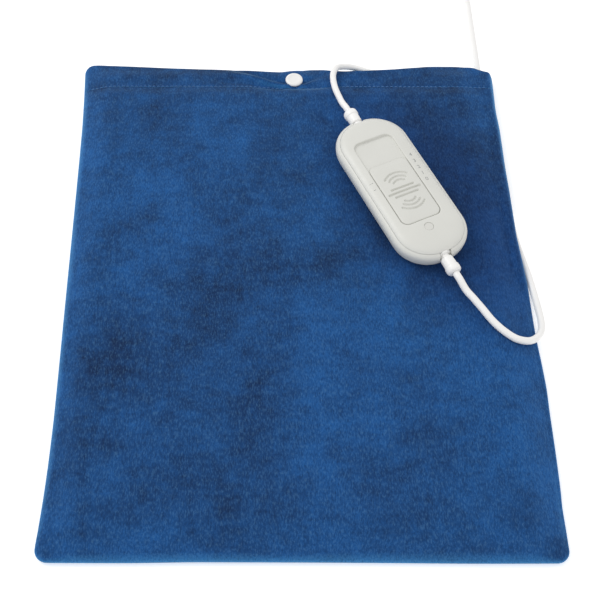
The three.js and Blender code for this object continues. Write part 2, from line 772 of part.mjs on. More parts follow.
// Slider carrier under the track floor, and its wiper on the board
const wiperThickness = 0.5;
const wiperLength = 5;
const wiperFingers = 3;
const carrierWidth = 20;
const carrierLength = 14;
const sliderCarrierUnder = boardTop + gap + wiperThickness + gap;
const sliderCarrierTop = trackUnder - gap;
const stemFoot = sliderCarrierUnder + gap;

function sliderCarrier() {
  const body = slab(roundedRect(carrierWidth, carrierLength, stemWidth / 3), sliderCarrierUnder, sliderCarrierTop, 3);
  const socket = block(stemWidth + 2 * gap, stemLength + 2 * gap, sliderCarrierUnder - overrun, sliderCarrierTop + overrun);
  return body.subtract(socket).translate([0, knobCentreY, 0]);
}

function wiperContact() {
  const from = boardTop + gap;
  const span = carrierWidth - 2 * wall;
  const plate = block(span, wiperLength, from, from + wiperThickness);
  const fingerPitch = span / wiperFingers;
  const slits = Array.from({ length: wiperFingers - 1 }, (_, k) =>
    block(fingerPitch / 4, wiperLength, from - overrun, from + wiperThickness + overrun,
      (k + 1) * fingerPitch - span / 2, wiperLength / 3)
  );
  return cutBy(plate, ...slits).translate([0, knobCentreY - stemLength / 2 + gap, 0]);
}

function circuitBoard() {
  return joined(
    slab(roundedRect(boardWidth, boardLength, wall), boardUnder, boardTop, 3),
    slab(roundedRect(boardTongueWidth, boardTongueLength, wall), boardUnder, boardTop, 3)
  );
}

// Components under the board, and the lamp on it
const partsTop = boardUnder - gap;
const capacitorSize = [18, 8.5, 5.8];
const capacitorShare = -0.268;
const capacitorPlace = [-6, boardLength * capacitorShare];
const fuseRadius = 2.6;
const fuseLength = 20;
const fuseCapLength = 5;
const fuseShare = 0.073;
const fuseY = boardLength * fuseShare;
const resistorRadius = 2.4;
const resistorLength = 17;
const resistorShare = -0.22;
const resistorPlace = [10, boardLength * resistorShare];
const triacSize = [10, 9, 4.5];
const triacTab = [10, 6, 1.3];
const triacShare = 0.244;
const triacY = boardLength * triacShare;

function filmCapacitor() {
  const [width, length, height] = capacitorSize;
  return slab(roundedRect(width, length, wall / 2, ...capacitorPlace), partsTop - height, partsTop, 3);
}

function fuseBody() {
  const cap = fuseLength / 2 - fuseCapLength;
  const slim = fuseRadius - gap;
  const profile = [
    [0, -fuseLength / 2],
    [fuseRadius, -fuseLength / 2],
    [fuseRadius, -cap],
    [slim, -cap],
    [slim, cap],
    [fuseRadius, cap],
    [fuseRadius, fuseLength / 2],
    [0, fuseLength / 2],
  ];
  return turned(profile, 14).rotateY(Math.PI / 2).translate(0, fuseY, partsTop - fuseRadius);
}

function powerResistor() {
  const end = resistorLength / 2;
  const profile = [[0, -end], [resistorRadius, -end], [resistorRadius, end], [0, end]];
  const [x, y] = resistorPlace;
  return turned(profile, 14).rotateX(Math.PI / 2).translate(x, y, partsTop - resistorRadius);
}

function triacBody() {
  const [width, length, height] = triacSize;
  const [tabWidth, tabLength, tabHeight] = triacTab;
  return joined(
    block(width, length, partsTop - height, partsTop, 0, triacY),
    block(tabWidth, tabLength + overrun, partsTop - tabHeight, partsTop, 0, triacY + (length + tabLength) / 2)
      .subtract(post(tabWidth / 6, partsTop - height, partsTop + overrun, 0, triacY + (length + tabLength) / 2))
  );
}

const lensFlangeTop = controllerHeight - wall - 2 * gap;
const lensTop = controllerHeight + gap / 2;
const lensUnder = lensFlangeTop - lensFlangeThickness;

function indicatorLens() {
  return turned([
    [0, lensUnder],
    [lensRadius + lensFlange, lensUnder],
    [lensRadius + lensFlange, lensFlangeTop],
    [lensRadius, lensFlangeTop],
    [lensRadius, lensTop - gap],
    [lensRadius / 2, lensTop],
    [0, lensTop],
  ], 20).translate(0, lensY, 0);
}

function indicatorLed() {
  const dome = lensUnder - gap;
  return turned([
    [0, boardTop + gap],
    [ledRadius, boardTop + gap],
    [ledRadius, dome - ledRadius / 2],
    [ledRadius * ledDomeShares[0], dome - ledRadius * ledDomeShares[1]],
    [0, dome],
  ], 14).translate(0, lensY, 0);
}

function housingScrew(x, y) {
  return turned([
    [0, gap],
    [screwHeadRadius, gap],
    [screwShankRadius, screwHeadDepth],
    [screwShankRadius, screwLength],
    [0, screwLength + screwShankRadius],
  ], 10).translate(x, y, 0);
}

function leadRelief() {
  const root = wallFace + gap;
  return turned([
    [0, glandFlangeNear],
    [glandFlangeRadius, glandFlangeNear],
    [glandFlangeRadius, glandFlangeFar - gap],
    [glandWaistRadius, glandFlangeFar - gap],
    [glandWaistRadius, root],
    [glandRootRadius, root],
    [lerp(glandRootRadius, glandTipRadius, glandSwellShares[0]), root + glandLength * glandSwellShares[1]],
    [glandTipRadius, glandTip - glandChamfer],
    [glandTipRadius - glandChamfer, glandTip],
    [0, glandTip],
  ], 14).rotateX(-Math.PI / 2).translate(0, 0, glandAxisHeight);
}

// Wires from each relief's inner face to the board
const wireRadius = 0.8;
const wireFan = 3.4;
function innerWire(side) {
  const near = glandFlangeNear - gap;
  const top = boardTop + gap + wireRadius;
  const end = boardLength / 2;
  return cordTube([
    [side * glandWaistRadius / 2, near, glandAxisHeight],
    [side * glandWaistRadius / 2, near - wireRadius, glandAxisHeight],
    [side * wireFan, lerp(near, end, 0.5), top + gap],
    [side * (wireFan + wireRadius), end + wireRadius, top],
    [side * (wireFan + wireRadius), end, top],
  ], 2 * wireRadius, 8, 6);
}

// The pad lead: gland, a bight inside the mouth, out past the snap and over the front to the controller
const fromControllerPlace = (x, y, z) =>
  new THREE.Vector3(x, y, z)
    .applyAxisAngle(new THREE.Vector3(0, 0, 1), controllerTurn)
    .add(new THREE.Vector3(controllerX, controllerY, plateauTop + gap))
    .toArray();
const padLeadStart = innerFar + gap + glandCollarLength + gap;
const atGland = (x, fromMouth, z) => [glandX + x, halfLength - fromMouth, z];
const atMouth = (x, fromMouth, z) => [controllerX + x, halfLength - fromMouth, z];
const bightShares = [0.22, 0.48, 0.74];
const bightEnds = [atGland(54, 31.4, 5.5), atMouth(-6, 31.7, 5.5)];
const padLeadRoute = [
  [glandX, padLeadStart, glandHeight],
  [glandX, padLeadStart + padLeadDiameter, glandHeight],
  atGland(3.5, 19, 6.4),
  atGland(12, 16, 6.2),
  atGland(24, 19.5, 6),
  atGland(38, 28, 5.7),
  bightEnds[0],
  ...bightShares.map((share) => [lerp(bightEnds[0][0], bightEnds[1][0], share), halfLength - 31.8, 5.4]),
  bightEnds[1],
  atMouth(12, 30, 5.7),
  atMouth(21.6, 23.8, 5.9),
  atMouth(23, 15.4, 6),
  atMouth(17.2, 9.2, 6.2),
  atMouth(6, 6.8, 6.2),
  atMouth(-4, 5.9, 6.2),
  atMouth(-13, 3.3, 6.4),
  atMouth(-20.4, 0.9, 7.4),
  atMouth(-26.6, 0.5, 9.8),
  atMouth(-32.4, 2, 12.9),
  atMouth(-38, 6.6, 15.2),
  atMouth(-41, 11.8, 15.4),
  atMouth(-42.1, 18.5, 15.4),
  atMouth(-41.3, 30.4, 16.3),
  atMouth(-39.2, 41, 17.1),
  fromControllerPlace(0, glandTip + gap + 2 * padLeadDiameter, glandAxisHeight - 3 * gap),
  fromControllerPlace(0, glandTip + gap + padLeadDiameter, glandAxisHeight),
  fromControllerPlace(0, glandTip + gap, glandAxisHeight),
];

// The mains lead: over the front, down to the floor, under the right edge and out at the mouth
const coilOuterRadius = 37.8;
const coilFromMouth = 146;
const coilX = ridgeX - coilOuterRadius;
const coilY = halfLength + coilFromMouth;
const coilInnerRadius = 17.175;
const coilRadialPitch = 5.5;
const coilLayerPitch = 5.5;
const coilSteps = 24;
const coilSides = 6;
const floorRest = mainsLeadDiameter / 2 + gap / 3;
const besideController = (x, y, z) => [controllerX + x, controllerY + y, z];
const mainsLeadRoute = [
  fromControllerPlace(0, -(glandTip + gap), glandAxisHeight),
  fromControllerPlace(0, -(glandTip + gap + mainsLeadDiameter), glandAxisHeight),
  besideController(38, -82.2, 20.4),
  besideController(42.6, -87.5, 18.8),
  besideController(50.3, -96.6, 17.3),
  besideController(57, -106.5, 16.8),
  besideController(64.9, -114.3, 15.7),
  besideController(73.2, -117.8, 12.6),
  besideController(82.8, -115.9, 8.8),
  besideController(90, -107.9, 4.7),
  besideController(91.9, -102.9, 3.4),
  besideController(92.7, -95.9, 2.75),
  besideController(91.4, -80.6, floorRest),
  besideController(88.6, -60, floorRest),
  besideController(85.8, -43.1, floorRest),
  besideController(83.3, -27.6, floorRest),
  besideController(81.4, -11.9, floorRest),
  besideController(78.8, 3.1, floorRest),
  besideController(75.7, 18.1, floorRest),
  besideController(74.1, 33.1, floorRest),
  besideController(74, 53.1, floorRest),
  [ridgeX, halfLength - 40, floorRest],
  [ridgeX, halfLength + 10, floorRest],
  [ridgeX, halfLength + 70, floorRest],
  [coilX + coilOuterRadius, coilY - 2 * mainsLeadDiameter - gap, floorRest],
  [coilX + coilOuterRadius, coilY - mainsLeadDiameter - gap, floorRest],
];

// The coil: a spiral in, a climb in the reversing half turn, and a spiral out on top
const coilTurns = (2 * (coilOuterRadius - coilInnerRadius)) / coilRadialPitch;
const climbShare = 0.5;
const tieAngle = Math.PI / 2;
const tieSpread = degToRad(32);
const tieThickness = 0.9;
const tieWidth = 6;
const tieLift = tieThickness + gap;

function coilPoint(turn) {
  const radius = coilInnerRadius + coilRadialPitch * Math.abs(turn - coilTurns / 2);
  const climb = smoothstep(turn, (coilTurns - climbShare) / 2, (coilTurns + climbShare) / 2);
  const angle = 2 * Math.PI * turn;
  const offTie = Math.abs(Math.atan2(Math.sin(angle - tieAngle), Math.cos(angle - tieAngle)));
  const nearTie = 1 - smoothstep(offTie, tieSpread / 3, tieSpread);
  const height = floorRest + coilLayerPitch * climb + tieLift * nearTie;
  return new THREE.Vector3(coilX + radius * Math.cos(angle), coilY + radius * Math.sin(angle), height);
}

function coilPath() {
  const count = Math.round(coilTurns * coilSteps);
  const points = Array.from({ length: count + 1 }, (_, k) => coilPoint((coilTurns * k) / count));
  const leadOut = (point) => point.clone().setY(point.y - mainsLeadDiameter);
  return [leadOut(points[0]), ...points, leadOut(points[count])];
}

function leastSelfGap(points, diameter) {
  let least = Infinity;
  const apart = Math.ceil(coilSteps / 2);
  for (let i = 0; i < points.length; i += 1) {
    for (let j = i + apart; j < points.length; j += 1) {
      least = Math.min(least, points[i].distanceTo(points[j]) - diameter);
    }
  }
  return least;
}

// The tie: a flat band round the coil's strand in a plane through the coil's axis
function coilTie() {
  const inner = coilInnerRadius - mainsLeadDiameter / 2 - 2 * gap;
  const outer = coilOuterRadius + mainsLeadDiameter / 2 + 2 * gap;
  const low = tieThickness + gap / 3;
  const high = floorRest + tieLift + coilLayerPitch + mainsLeadDiameter / 2 + gap;
  const round = mainsLeadDiameter / 2;
  const band = (grow) =>
    slab(
      roundedRect(outer - inner + 2 * grow, high - low + 2 * grow, round + grow, (inner + outer) / 2, (low + high) / 2),
      -tieWidth / 2 - (grow ? 0 : overrun),
      tieWidth / 2 + (grow ? 0 : overrun),
      3
    );
  const ringBand = geometryOf(band(tieThickness).subtract(band(0)));
  return ringBand.rotateX(Math.PI / 2).rotateZ(tieAngle).translate(coilX, coilY, 0);
}

// The plug at the end of the mains lead, lying on its flat side
const plugWidth = 35.3;
const plugThickness = 13.7;
const plugLength = 36;
const plugNeckShare = 0.36;
const plugCurveShares = [0.35, 0.65, 0.7];
const plugPinPitch = 19;
const plugPinRadius = 2;
const plugPinLength = 19;
const plugPinSeat = 3;
const plugReliefLength = 16;
const plugReliefRadius = 4.2;
const plugFromCoil = 116.2;
const plugFromMouth = 114;
const plugX = coilX - plugFromCoil;
const plugY = halfLength + plugFromMouth;
const plugAxisHeight = plugThickness / 2 + gap / 3;

function plugBody() {
  const w = plugWidth / 2;
  const neck = w * plugNeckShare;
  const shape = new THREE.Shape();
  shape.moveTo(0, w);
  const [straight, leave, arrive] = plugCurveShares.map((share) => plugLength * share);
  shape.lineTo(straight, w);
  shape.bezierCurveTo(leave, w, arrive, neck, plugLength, neck);
  shape.lineTo(plugLength, -neck);
  shape.bezierCurveTo(arrive, -neck, leave, -w, straight, -w);
  shape.lineTo(0, -w);
  const bevel = plugThickness / 6;
  const geometry = new THREE.ExtrudeGeometry(shape, {
    depth: plugThickness - 2 * bevel,
    bevelSize: bevel,
    bevelThickness: bevel,
    bevelOffset: -bevel,
    bevelSegments: 2,
    curveSegments: 7,
  });
  const body = solidOf(geometry.translate(0, 0, -plugThickness / 2 + bevel));
  const seats = bothEnds.map((side) => {
    const seat = new THREE.CylinderGeometry(plugPinRadius + gap, plugPinRadius + gap, 2 * plugPinSeat, 12);
    return solidOf(seat.rotateZ(Math.PI / 2).translate(0, (side * plugPinPitch) / 2, 0));
  });
  return cutBy(body, ...seats).translate([plugX, plugY, plugAxisHeight]);
}

function plugPin(side) {
  const tip = plugPinLength;
  const seat = plugPinSeat - gap;
  return turned([
    [0, -tip],
    [plugPinRadius / 2, -tip],
    [plugPinRadius, -tip + plugPinRadius],
    [plugPinRadius, seat],
    [0, seat],
  ], 12).rotateY(Math.PI / 2).translate(plugX, plugY + (side * plugPinPitch) / 2, plugAxisHeight);
}

function plugRelief() {
  const root = gap;
  const grooves = 3;
  const pitch = plugReliefLength / (grooves + 1);
  const slim = mainsLeadDiameter / 2 + wall / 2;
  const profile = [[0, root], [plugReliefRadius, root]];
  for (let k = 1; k <= grooves; k += 1) {
    const taper = lerp(plugReliefRadius, slim + gap, k / (grooves + 1));
    profile.push([taper, pitch * k], [slim, pitch * k], [slim, pitch * k + pitch / 3], [taper, pitch * k + pitch / 3]);
  }
  profile.push([slim, plugReliefLength], [0, plugReliefLength]);
  return turned(profile, 12).rotateY(Math.PI / 2).translate(plugX + plugLength, plugY, plugAxisHeight);
}

const plugLeadStart = plugX + plugLength + plugReliefLength + gap;
const plugLeadRoute = (coilEnd) => [
  [coilEnd.x, coilEnd.y - gap, coilEnd.z],
  [coilEnd.x, coilEnd.y - gap - mainsLeadDiameter, coilEnd.z],
  [coilX - 39.2, coilY - 19, 7.6],
  [coilX - 45.4, coilY - 27.6, 7.1],
  [coilX - 53.7, plugY + 0.8, plugAxisHeight],
  [plugLeadStart + mainsLeadDiameter, plugY, plugAxisHeight],
  [plugLeadStart, plugY, plugAxisHeight],
];

// Assembly
const pad = new THREE.Group();
const cords = new THREE.Group();
const controller = new THREE.Group();
controller.position.set(controllerX, controllerY, plateauTop + gap);
controller.rotation.z = controllerTurn;

function place(group, name, form, look) {
  const geometry = form.isBufferGeometry ? form : geometryOf(form);
  const mesh = new THREE.Mesh(geometry, look);
  mesh.name = name;
  group.add(mesh);
  return mesh;
}

place(pad, "cover_front_panel", coverFrontPanel(), plush);
place(pad, "cover_back_panel", coverBackPanel(), plush);
place(pad, "cover_front_hem", coverFrontHem(), plush);
place(pad, "cover_back_hem", coverBackHem(), plush);
for (const [name, form] of Object.entries({
  snap_cap: snapCap(),
  snap_socket: snapSocket(),
  snap_stud: snapStud(),
  snap_back_cap: snapBackCap(),
})) {
  place(pad, name, form, whiteVinyl).position.set(snapX, snapY, 0);
}
place(pad, "inner_casing_top", innerCasingTop(), casingCloth);
place(pad, "inner_casing_bottom", slab(innerShape(0), casingUnder, casingUnder + casingThickness), casingCloth);
place(pad, "wadding_top", waddingTop(), wadding);
place(pad, "wadding_bottom", linerLayer(lowerWaddingUnder, waddingThickness), wadding);
place(pad, "heater_carrier", linerLayer(carrierUnder, carrierThickness), felt);
place(pad, "heating_wire", heatingWire(), heaterSleeve);
cutOutPlaceShares.forEach((where, k) => place(pad, `thermostat_${k + 1}`, cutOutBlock(where, 0, 0), blackPlastic));
place(pad, "pad_gland", padGland(), whiteVinyl);

place(controller, "controller_upper_shell", controllerUpperShell(), housingGrey);
place(controller, "controller_lower_shell", controllerLowerShell(), housingGrey);
place(controller, "slider_knob", sliderKnob(), housingGrey);
place(controller, "slider_carrier", sliderCarrier(), blackPlastic);
place(controller, "wiper_contact", wiperContact(), copper);
place(controller, "circuit_board", circuitBoard(), boardGreen);
place(controller, "indicator_lens", indicatorLens(), clearRed);
place(controller, "indicator_led", indicatorLed(), clearRed);
place(controller, "triac", triacBody(), blackPlastic);
place(controller, "fuse", fuseBody(), ceramic);
place(controller, "film_capacitor", filmCapacitor(), yellowFilm);
place(controller, "power_resistor", powerResistor(), ceramic);
corners.forEach(([sx, sy], k) =>
  place(controller, `housing_screw_${k + 1}`, housingScrew(sx * screwX, sy * screwY), nickel)
);
place(controller, "pad_lead_relief", leadRelief(), whiteVinyl);
place(controller, "mains_lead_relief", leadRelief(), whiteVinyl).rotation.z = Math.PI;
place(controller, "pad_wire_1", innerWire(1), whiteVinyl);
place(controller, "pad_wire_2", innerWire(-1), whiteVinyl);
place(controller, "mains_live_wire", innerWire(1), copper).rotation.z = Math.PI;
place(controller, "mains_neutral_wire", innerWire(-1), whiteVinyl).rotation.z = Math.PI;

const coilPoints = coilPath();
console.log(`coil: least gap to itself ${leastSelfGap(coilPoints, mainsLeadDiameter).toFixed(2)} mm`);
place(cords, "pad_lead", cordTube(padLeadRoute, padLeadDiameter, 44), whiteVinyl);
place(cords, "mains_lead", cordTube(mainsLeadRoute, mainsLeadDiameter, 44), whiteVinyl);
place(cords, "mains_lead_coil", levelTube(coilPoints, mainsLeadDiameter / 2, coilSides), whiteVinyl);
place(cords, "coil_tie", coilTie(), blackPlastic);
place(cords, "plug_lead", cordTube(plugLeadRoute(coilPoints.at(-1)), mainsLeadDiameter, 8), whiteVinyl);
place(cords, "plug_body", plugBody(), whiteVinyl);
place(cords, "plug_relief", plugRelief(), whiteVinyl);
place(cords, "plug_pin_left", plugPin(1), nickel);
place(cords, "plug_pin_right", plugPin(-1), nickel);

const heatingPad = new THREE.Group();
heatingPad.add(pad, controller, cords);

export default heatingPad;
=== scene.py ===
import math

import bpy
import numpy as np
from mathutils import Matrix, Vector


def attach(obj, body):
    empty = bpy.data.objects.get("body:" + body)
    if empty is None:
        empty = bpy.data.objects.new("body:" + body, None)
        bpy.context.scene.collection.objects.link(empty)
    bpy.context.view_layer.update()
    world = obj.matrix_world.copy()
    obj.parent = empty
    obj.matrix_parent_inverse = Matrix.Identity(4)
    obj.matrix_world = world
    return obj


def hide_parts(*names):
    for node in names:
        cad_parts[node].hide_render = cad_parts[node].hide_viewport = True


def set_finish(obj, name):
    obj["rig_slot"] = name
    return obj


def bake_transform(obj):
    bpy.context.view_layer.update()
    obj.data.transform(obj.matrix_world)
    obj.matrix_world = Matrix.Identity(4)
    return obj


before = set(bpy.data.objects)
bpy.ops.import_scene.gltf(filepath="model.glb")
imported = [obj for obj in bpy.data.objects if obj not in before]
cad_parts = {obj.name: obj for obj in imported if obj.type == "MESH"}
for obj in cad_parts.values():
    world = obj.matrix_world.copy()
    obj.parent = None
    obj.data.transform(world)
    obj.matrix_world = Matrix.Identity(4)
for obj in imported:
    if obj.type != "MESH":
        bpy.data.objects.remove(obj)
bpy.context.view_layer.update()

bl_info = {
    "name": "Heating pad with slide controller",
    "version": (1, 0, 0),
    "blender": (4, 5, 0),
    "location": "3D View > Sidebar > Heating Pad",
    "description": "Dresses the packed heating pad in plush, moulded plastic and vinyl leads",
    "category": "Object",
}

MM = 0.001

# Sizes are in millimetres. The object lies on its back at Z 0, with its mouth towards +Y, the far
# side in the photograph. The controller's own frame has Y along its length, towards the pad lead.

# Cover. UNDER is the height of the front's underside at the seam, over the inner pad or at the
# mouth, and PLUSH is the thickness of the cloth.

COVER_HALF_WIDTH = 160.0
COVER_HALF_LENGTH = 200.0
COVER_CORNER = 8.0
FAR_RIGHT_CORNER = 4.0
COVER_CROWN = 1.4
PLUSH = 2.5
SEAM_UNDER = 2.8
SEAM_MARGIN = 25.0
PLATEAU_UNDER = 11.1
MOUTH_UNDER = 9.3
MOUTH_SLUMP = 2.6
INNER_FAR = 165.0
LEAD_RIDGE = 5.6
SEWN_ROUND = 5.0
MOUTH_ROUND = 1.5

# Hem and its stitches

HEM_START = 174.8
HEM_LAP = 0.25
HEM_DENT = 0.35
HEM_DENT_REACH = 1.2
STITCH_PITCH = 3.4
STITCH_LENGTH = 2.3
STITCH_RADIUS = 0.3
STITCH_SINK = 0.57

# Snap: where it is, how far it pulls the mouth down, and how far the cloth round it stays flat

SNAP = (4.1, 183.0)
SNAP_DIP = 2.8
SNAP_FLAT = 7.6
SNAP_POCKET = 1.35

# Controller, with the track and the knob in it

CONTROLLER_AT = (76.0, 66.9, 13.9)
CONTROLLER_TURN = math.radians(24.45)
HOUSING_LENGTH = 131.6
HOUSING_WIDTH = 54.9
HOUSING_CORNER = 25.3
TOP_RIM = 2.88
CROWN_REACH = 27.0
TRACK_WIDTH = 30.7
TRACK_LENGTH = 78.5
TRACK_X = -1.4
TRACK_Y = 3.9
TRACK_CORNER = 5.5
TRACK_FLOOR = 15.55
KNOB_LENGTH = 54.95
KNOB_GAP = 0.4
KNOB_TRAVEL = 22.0
KNOB_UNDER = 15.95
KNOB_LEAST = 16.0
KNOB_Y = TRACK_Y - TRACK_LENGTH / 2 + KNOB_GAP + KNOB_LENGTH / 2
GROOVE_DEPTH = 1.25
LENS_Y = -42.2
GLAND_HEIGHT = 9.2
GLAND_ROOT = HOUSING_LENGTH / 2 + 0.3
GLAND_TIP = GLAND_ROOT + 12.4

# Mains lead on the floor, its coil and the plug

FLOOR_REST = 2.6
COIL_AT = (112.2, 346.0)
COIL_OUTER = 37.8
COIL_INNER = 17.175
COIL_PITCH = 5.5
COIL_TURNS = 2 * (COIL_OUTER - COIL_INNER) / COIL_PITCH
COIL_STEPS = 48
COIL_TIE_REACH = math.radians(32)
COIL_TIE_LIFT = 1.2
LEAST_STEP = 0.2
PLUG_HEIGHT = 6.95

TO_CONTROLLER = Matrix.Translation(Vector(CONTROLLER_AT)) @ Matrix.Rotation(CONTROLLER_TURN, 4, "Z")


def on_controller(x, y, z):
    """A point of the controller's own frame, in the object's."""
    return tuple(TO_CONTROLLER @ Vector((x, y, z)))


# Routes of the leads

PAD_LEAD_ROUTE = [
    (-100, 170.6, 6.3), (-100, 175.4, 6.3), (-96.5, 181, 6.4), (-88, 184, 6.2), (-76, 180.5, 6),
    (-62, 172, 5.7), (-46, 168.6, 5.5), (-20.5, 168.2, 5.4), (9.7, 168.2, 5.4), (39.8, 168.2, 5.4),
    (70, 168.3, 5.5), (88, 170, 5.7), (97.6, 176.2, 5.9), (99, 184.6, 6), (93.2, 190, 6.2),
    (82, 192.4, 6.2), (72, 193, 6.2), (63, 195.2, 5.9), (55.6, 197.4, 6.8), (49.4, 197.6, 8.6),
    (43.6, 195.6, 11.2), (38, 192.2, 14.2), (35.2, 187.6, 15.2), (33.9, 181.5, 15.4),
    (34.7, 169.6, 16.3), (37.4, 159, 17.1),
    on_controller(0, GLAND_TIP + 0.3 + 9.6, GLAND_HEIGHT - 0.9),
    on_controller(0, GLAND_TIP + 0.3 + 4.8, GLAND_HEIGHT),
    on_controller(0, GLAND_TIP + 0.3, GLAND_HEIGHT),
]
PAD_LEAD_ON_TOP = PAD_LEAD_ROUTE[20:]
MAINS_LEAD_ROUTE = [
    on_controller(0, -(GLAND_TIP + 0.3), GLAND_HEIGHT),
    on_controller(0, -(GLAND_TIP + 5.3), GLAND_HEIGHT),
    (115, -16.6, 20.1), (119.4, -22.6, 19.3), (124.6, -29.8, 18.2), (130.8, -39.1, 17.3),
    (138, -46.8, 16.5), (145.5, -51.4, 15), (153.5, -51.6, 12.2), (159.6, -48.2, 8.9),
    (165.1, -41.4, 4.9), (167, -36.4, 3.5), (167.6, -29, 2.75),
    *[(x, y, FLOOR_REST) for x, y in (
        (166.4, -13.7), (163.9, 6.9), (161, 23.8), (158.7, 39.3), (157.4, 55), (154.8, 70),
        (151.7, 85), (150.1, 100), (150, 120), (150, 160), (150, 210), (150, 270), (150, 335.7),
        (150, 340.7),
    )],
]
MAINS_LEAD_ON_TOP = MAINS_LEAD_ROUTE[:11]
COIL_TO_PLUG_ROUTE = [
    (73, 327, 7.6), (66.8, 318.4, 7.1), (58.5, 314.8, PLUG_HEIGHT), (53.3, 314, PLUG_HEIGHT),
    (48.3, 314, PLUG_HEIGHT),
]


def coil_point(turn):
    """A point of the coil: inwards on the floor, outwards on top, with a hump over the tie."""
    radius = COIL_INNER + COIL_PITCH * abs(turn - COIL_TURNS / 2)
    climb = float(ease(turn, COIL_TURNS / 2 - 0.25, COIL_TURNS / 2 + 0.25))
    angle = 2 * math.pi * turn
    off_tie = abs(math.atan2(math.sin(angle - math.pi / 2), math.cos(angle - math.pi / 2)))
    lift = COIL_TIE_LIFT * (1 - float(ease(off_tie, COIL_TIE_REACH / 3, COIL_TIE_REACH)))
    return (
        COIL_AT[0] + radius * math.cos(angle),
        COIL_AT[1] + radius * math.sin(angle),
        FLOOR_REST + COIL_PITCH * climb + lift,
    )


def ease(value, low, high):
    """0 below low and 1 above high, with a smooth rise between."""
    share = np.clip((np.asarray(value, float) - low) / (high - low), 0, 1)
    return share * share * (3 - 2 * share)


def hermite(t):
    """Weights of the start, its tangent, the end and its tangent, at the share t of the way."""
    return 2 * t**3 - 3 * t**2 + 1, t**3 - 2 * t**2 + t, 3 * t**2 - 2 * t**3, t**3 - t**2


def smooth_line(points, steps):
    """A centripetal curve through the points, with steps pieces between each two."""
    points = [np.array(p, float) for p in points]
    ends = [2 * points[0] - points[1], *points, 2 * points[-1] - points[-2]]
    line = []
    for a, b, c, d in zip(ends, ends[1:], ends[2:], ends[3:]):
        before, along, after = (
            max(np.linalg.norm(q - p), 1e-4) ** 0.5 for p, q in ((a, b), (b, c), (c, d))
        )
        out = ((b - a) / before - (c - a) / (before + along) + (c - b) / along) * along
        into = ((c - b) / along - (d - b) / (along + after) + (d - c) / after) * along
        for k in range(steps):
            at_start, leaving, at_end, arriving = hermite(k / steps)
            line.append(at_start * b + leaving * out + at_end * c + arriving * into)
    line.append(points[-1])
    return np.array(line)


def profile(points):
    """A function that eases through (place, value) points without overshooting them."""
    xs, ys = (np.array(column, float) for column in zip(*points))
    width = np.diff(xs)
    slope = np.diff(ys) / width
    inner = [
        0.0 if a * b <= 0 else (w0 + w1) * 3 / ((2 * w1 + w0) / a + (w1 + 2 * w0) / b)
        for a, b, w0, w1 in zip(slope, slope[1:], width, width[1:])
    ]
    tangents = np.array([slope[0], *inner, slope[-1]])

    def value(x):
        x = np.clip(np.asarray(x, float), xs[0], xs[-1])
        k = np.clip(np.searchsorted(xs, x, side="right") - 1, 0, len(width) - 1)
        at_start, leaving, at_end, arriving = hermite((x - xs[k]) / width[k])
        return (
            at_start * ys[k] + leaving * width[k] * tangents[k]
            + at_end * ys[k + 1] + arriving * width[k] * tangents[k + 1]
        )

    return value


def soft_noise(x, y, size, seed):
    """Smooth seeded noise from -1 to 1 over the plane, with lumps of about that size."""
    count = 64
    cells = np.random.default_rng(seed).uniform(-1, 1, (count, count))
    u, v = np.asarray(x) / size + 500.3, np.asarray(y) / size + 500.7
    i, j = np.floor(u).astype(int), np.floor(v).astype(int)
    s, t = u - i, v - j
    s, t = s * s * (3 - 2 * s), t * t * (3 - 2 * t)

    def row(above):
        left, right = (cells[(i + beside) % count, (j + above) % count] for beside in (0, 1))
        return left * (1 - s) + right * s

    return row(0) * (1 - t) + row(1) * t


def spaced(total, fine, step):
    """Distances from one edge to the other, close at both ends."""
    ends = [0, 0.12, 0.35, 0.7, 1.15, 1.7, 2.4, 3.2, 4.2, 5.4, 6.9, 8.7]
    ends = [e * fine for e in ends]
    pieces = max(2, round((total - 2 * ends[-1]) / step))
    middle = np.linspace(ends[-1], total - ends[-1], pieces + 1)
    return np.array([*ends[:-1], *middle, *(total - np.array(ends[-2::-1]))])


# Meshes

def piece(name, points, faces, look, slot, smooth=True):
    """A mesh from points in millimetres, in the frame's metres."""
    mesh = bpy.data.meshes.new(name)
    points = np.asarray(points, float) * MM
    mesh.from_pydata(points.tolist(), [], [list(map(int, f)) for f in faces])
    mesh.validate()
    mesh.update()
    if smooth:
        mesh.shade_smooth()
    obj = bpy.data.objects.new(name, mesh)
    bpy.context.collection.objects.link(obj)
    mesh.materials.append(look)
    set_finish(obj, slot)
    return obj


def controller_piece(name, points, faces, look, slot, smooth=True):
    """A piece whose points are in the controller's own frame, with Y along its length."""
    placed = np.c_[np.asarray(points, float), np.ones(len(points))] @ np.array(TO_CONTROLLER).T
    return piece(name, placed[:, :3], faces, look, slot, smooth)


def loops_mesh(loops):
    """Points and faces of equal loops joined in turn, with flat ends."""
    count = len(loops[0])
    faces = []
    for k in range(len(loops) - 1):
        for i in range(count):
            a, b = k * count + i, k * count + (i + 1) % count
            faces.append((a, b, b + count, a + count))
    faces.append(tuple(range(count - 1, -1, -1)))
    faces.append(tuple(range((len(loops) - 1) * count, len(loops) * count)))
    return np.concatenate(loops), faces


def turned_loops(outline, segments):
    """Loops of a (radius, height) outline turned about Z."""
    angles = np.arange(segments) * 2 * math.pi / segments
    return [np.c_[r * np.cos(angles), r * np.sin(angles), np.full(segments, h)] for r, h in outline]


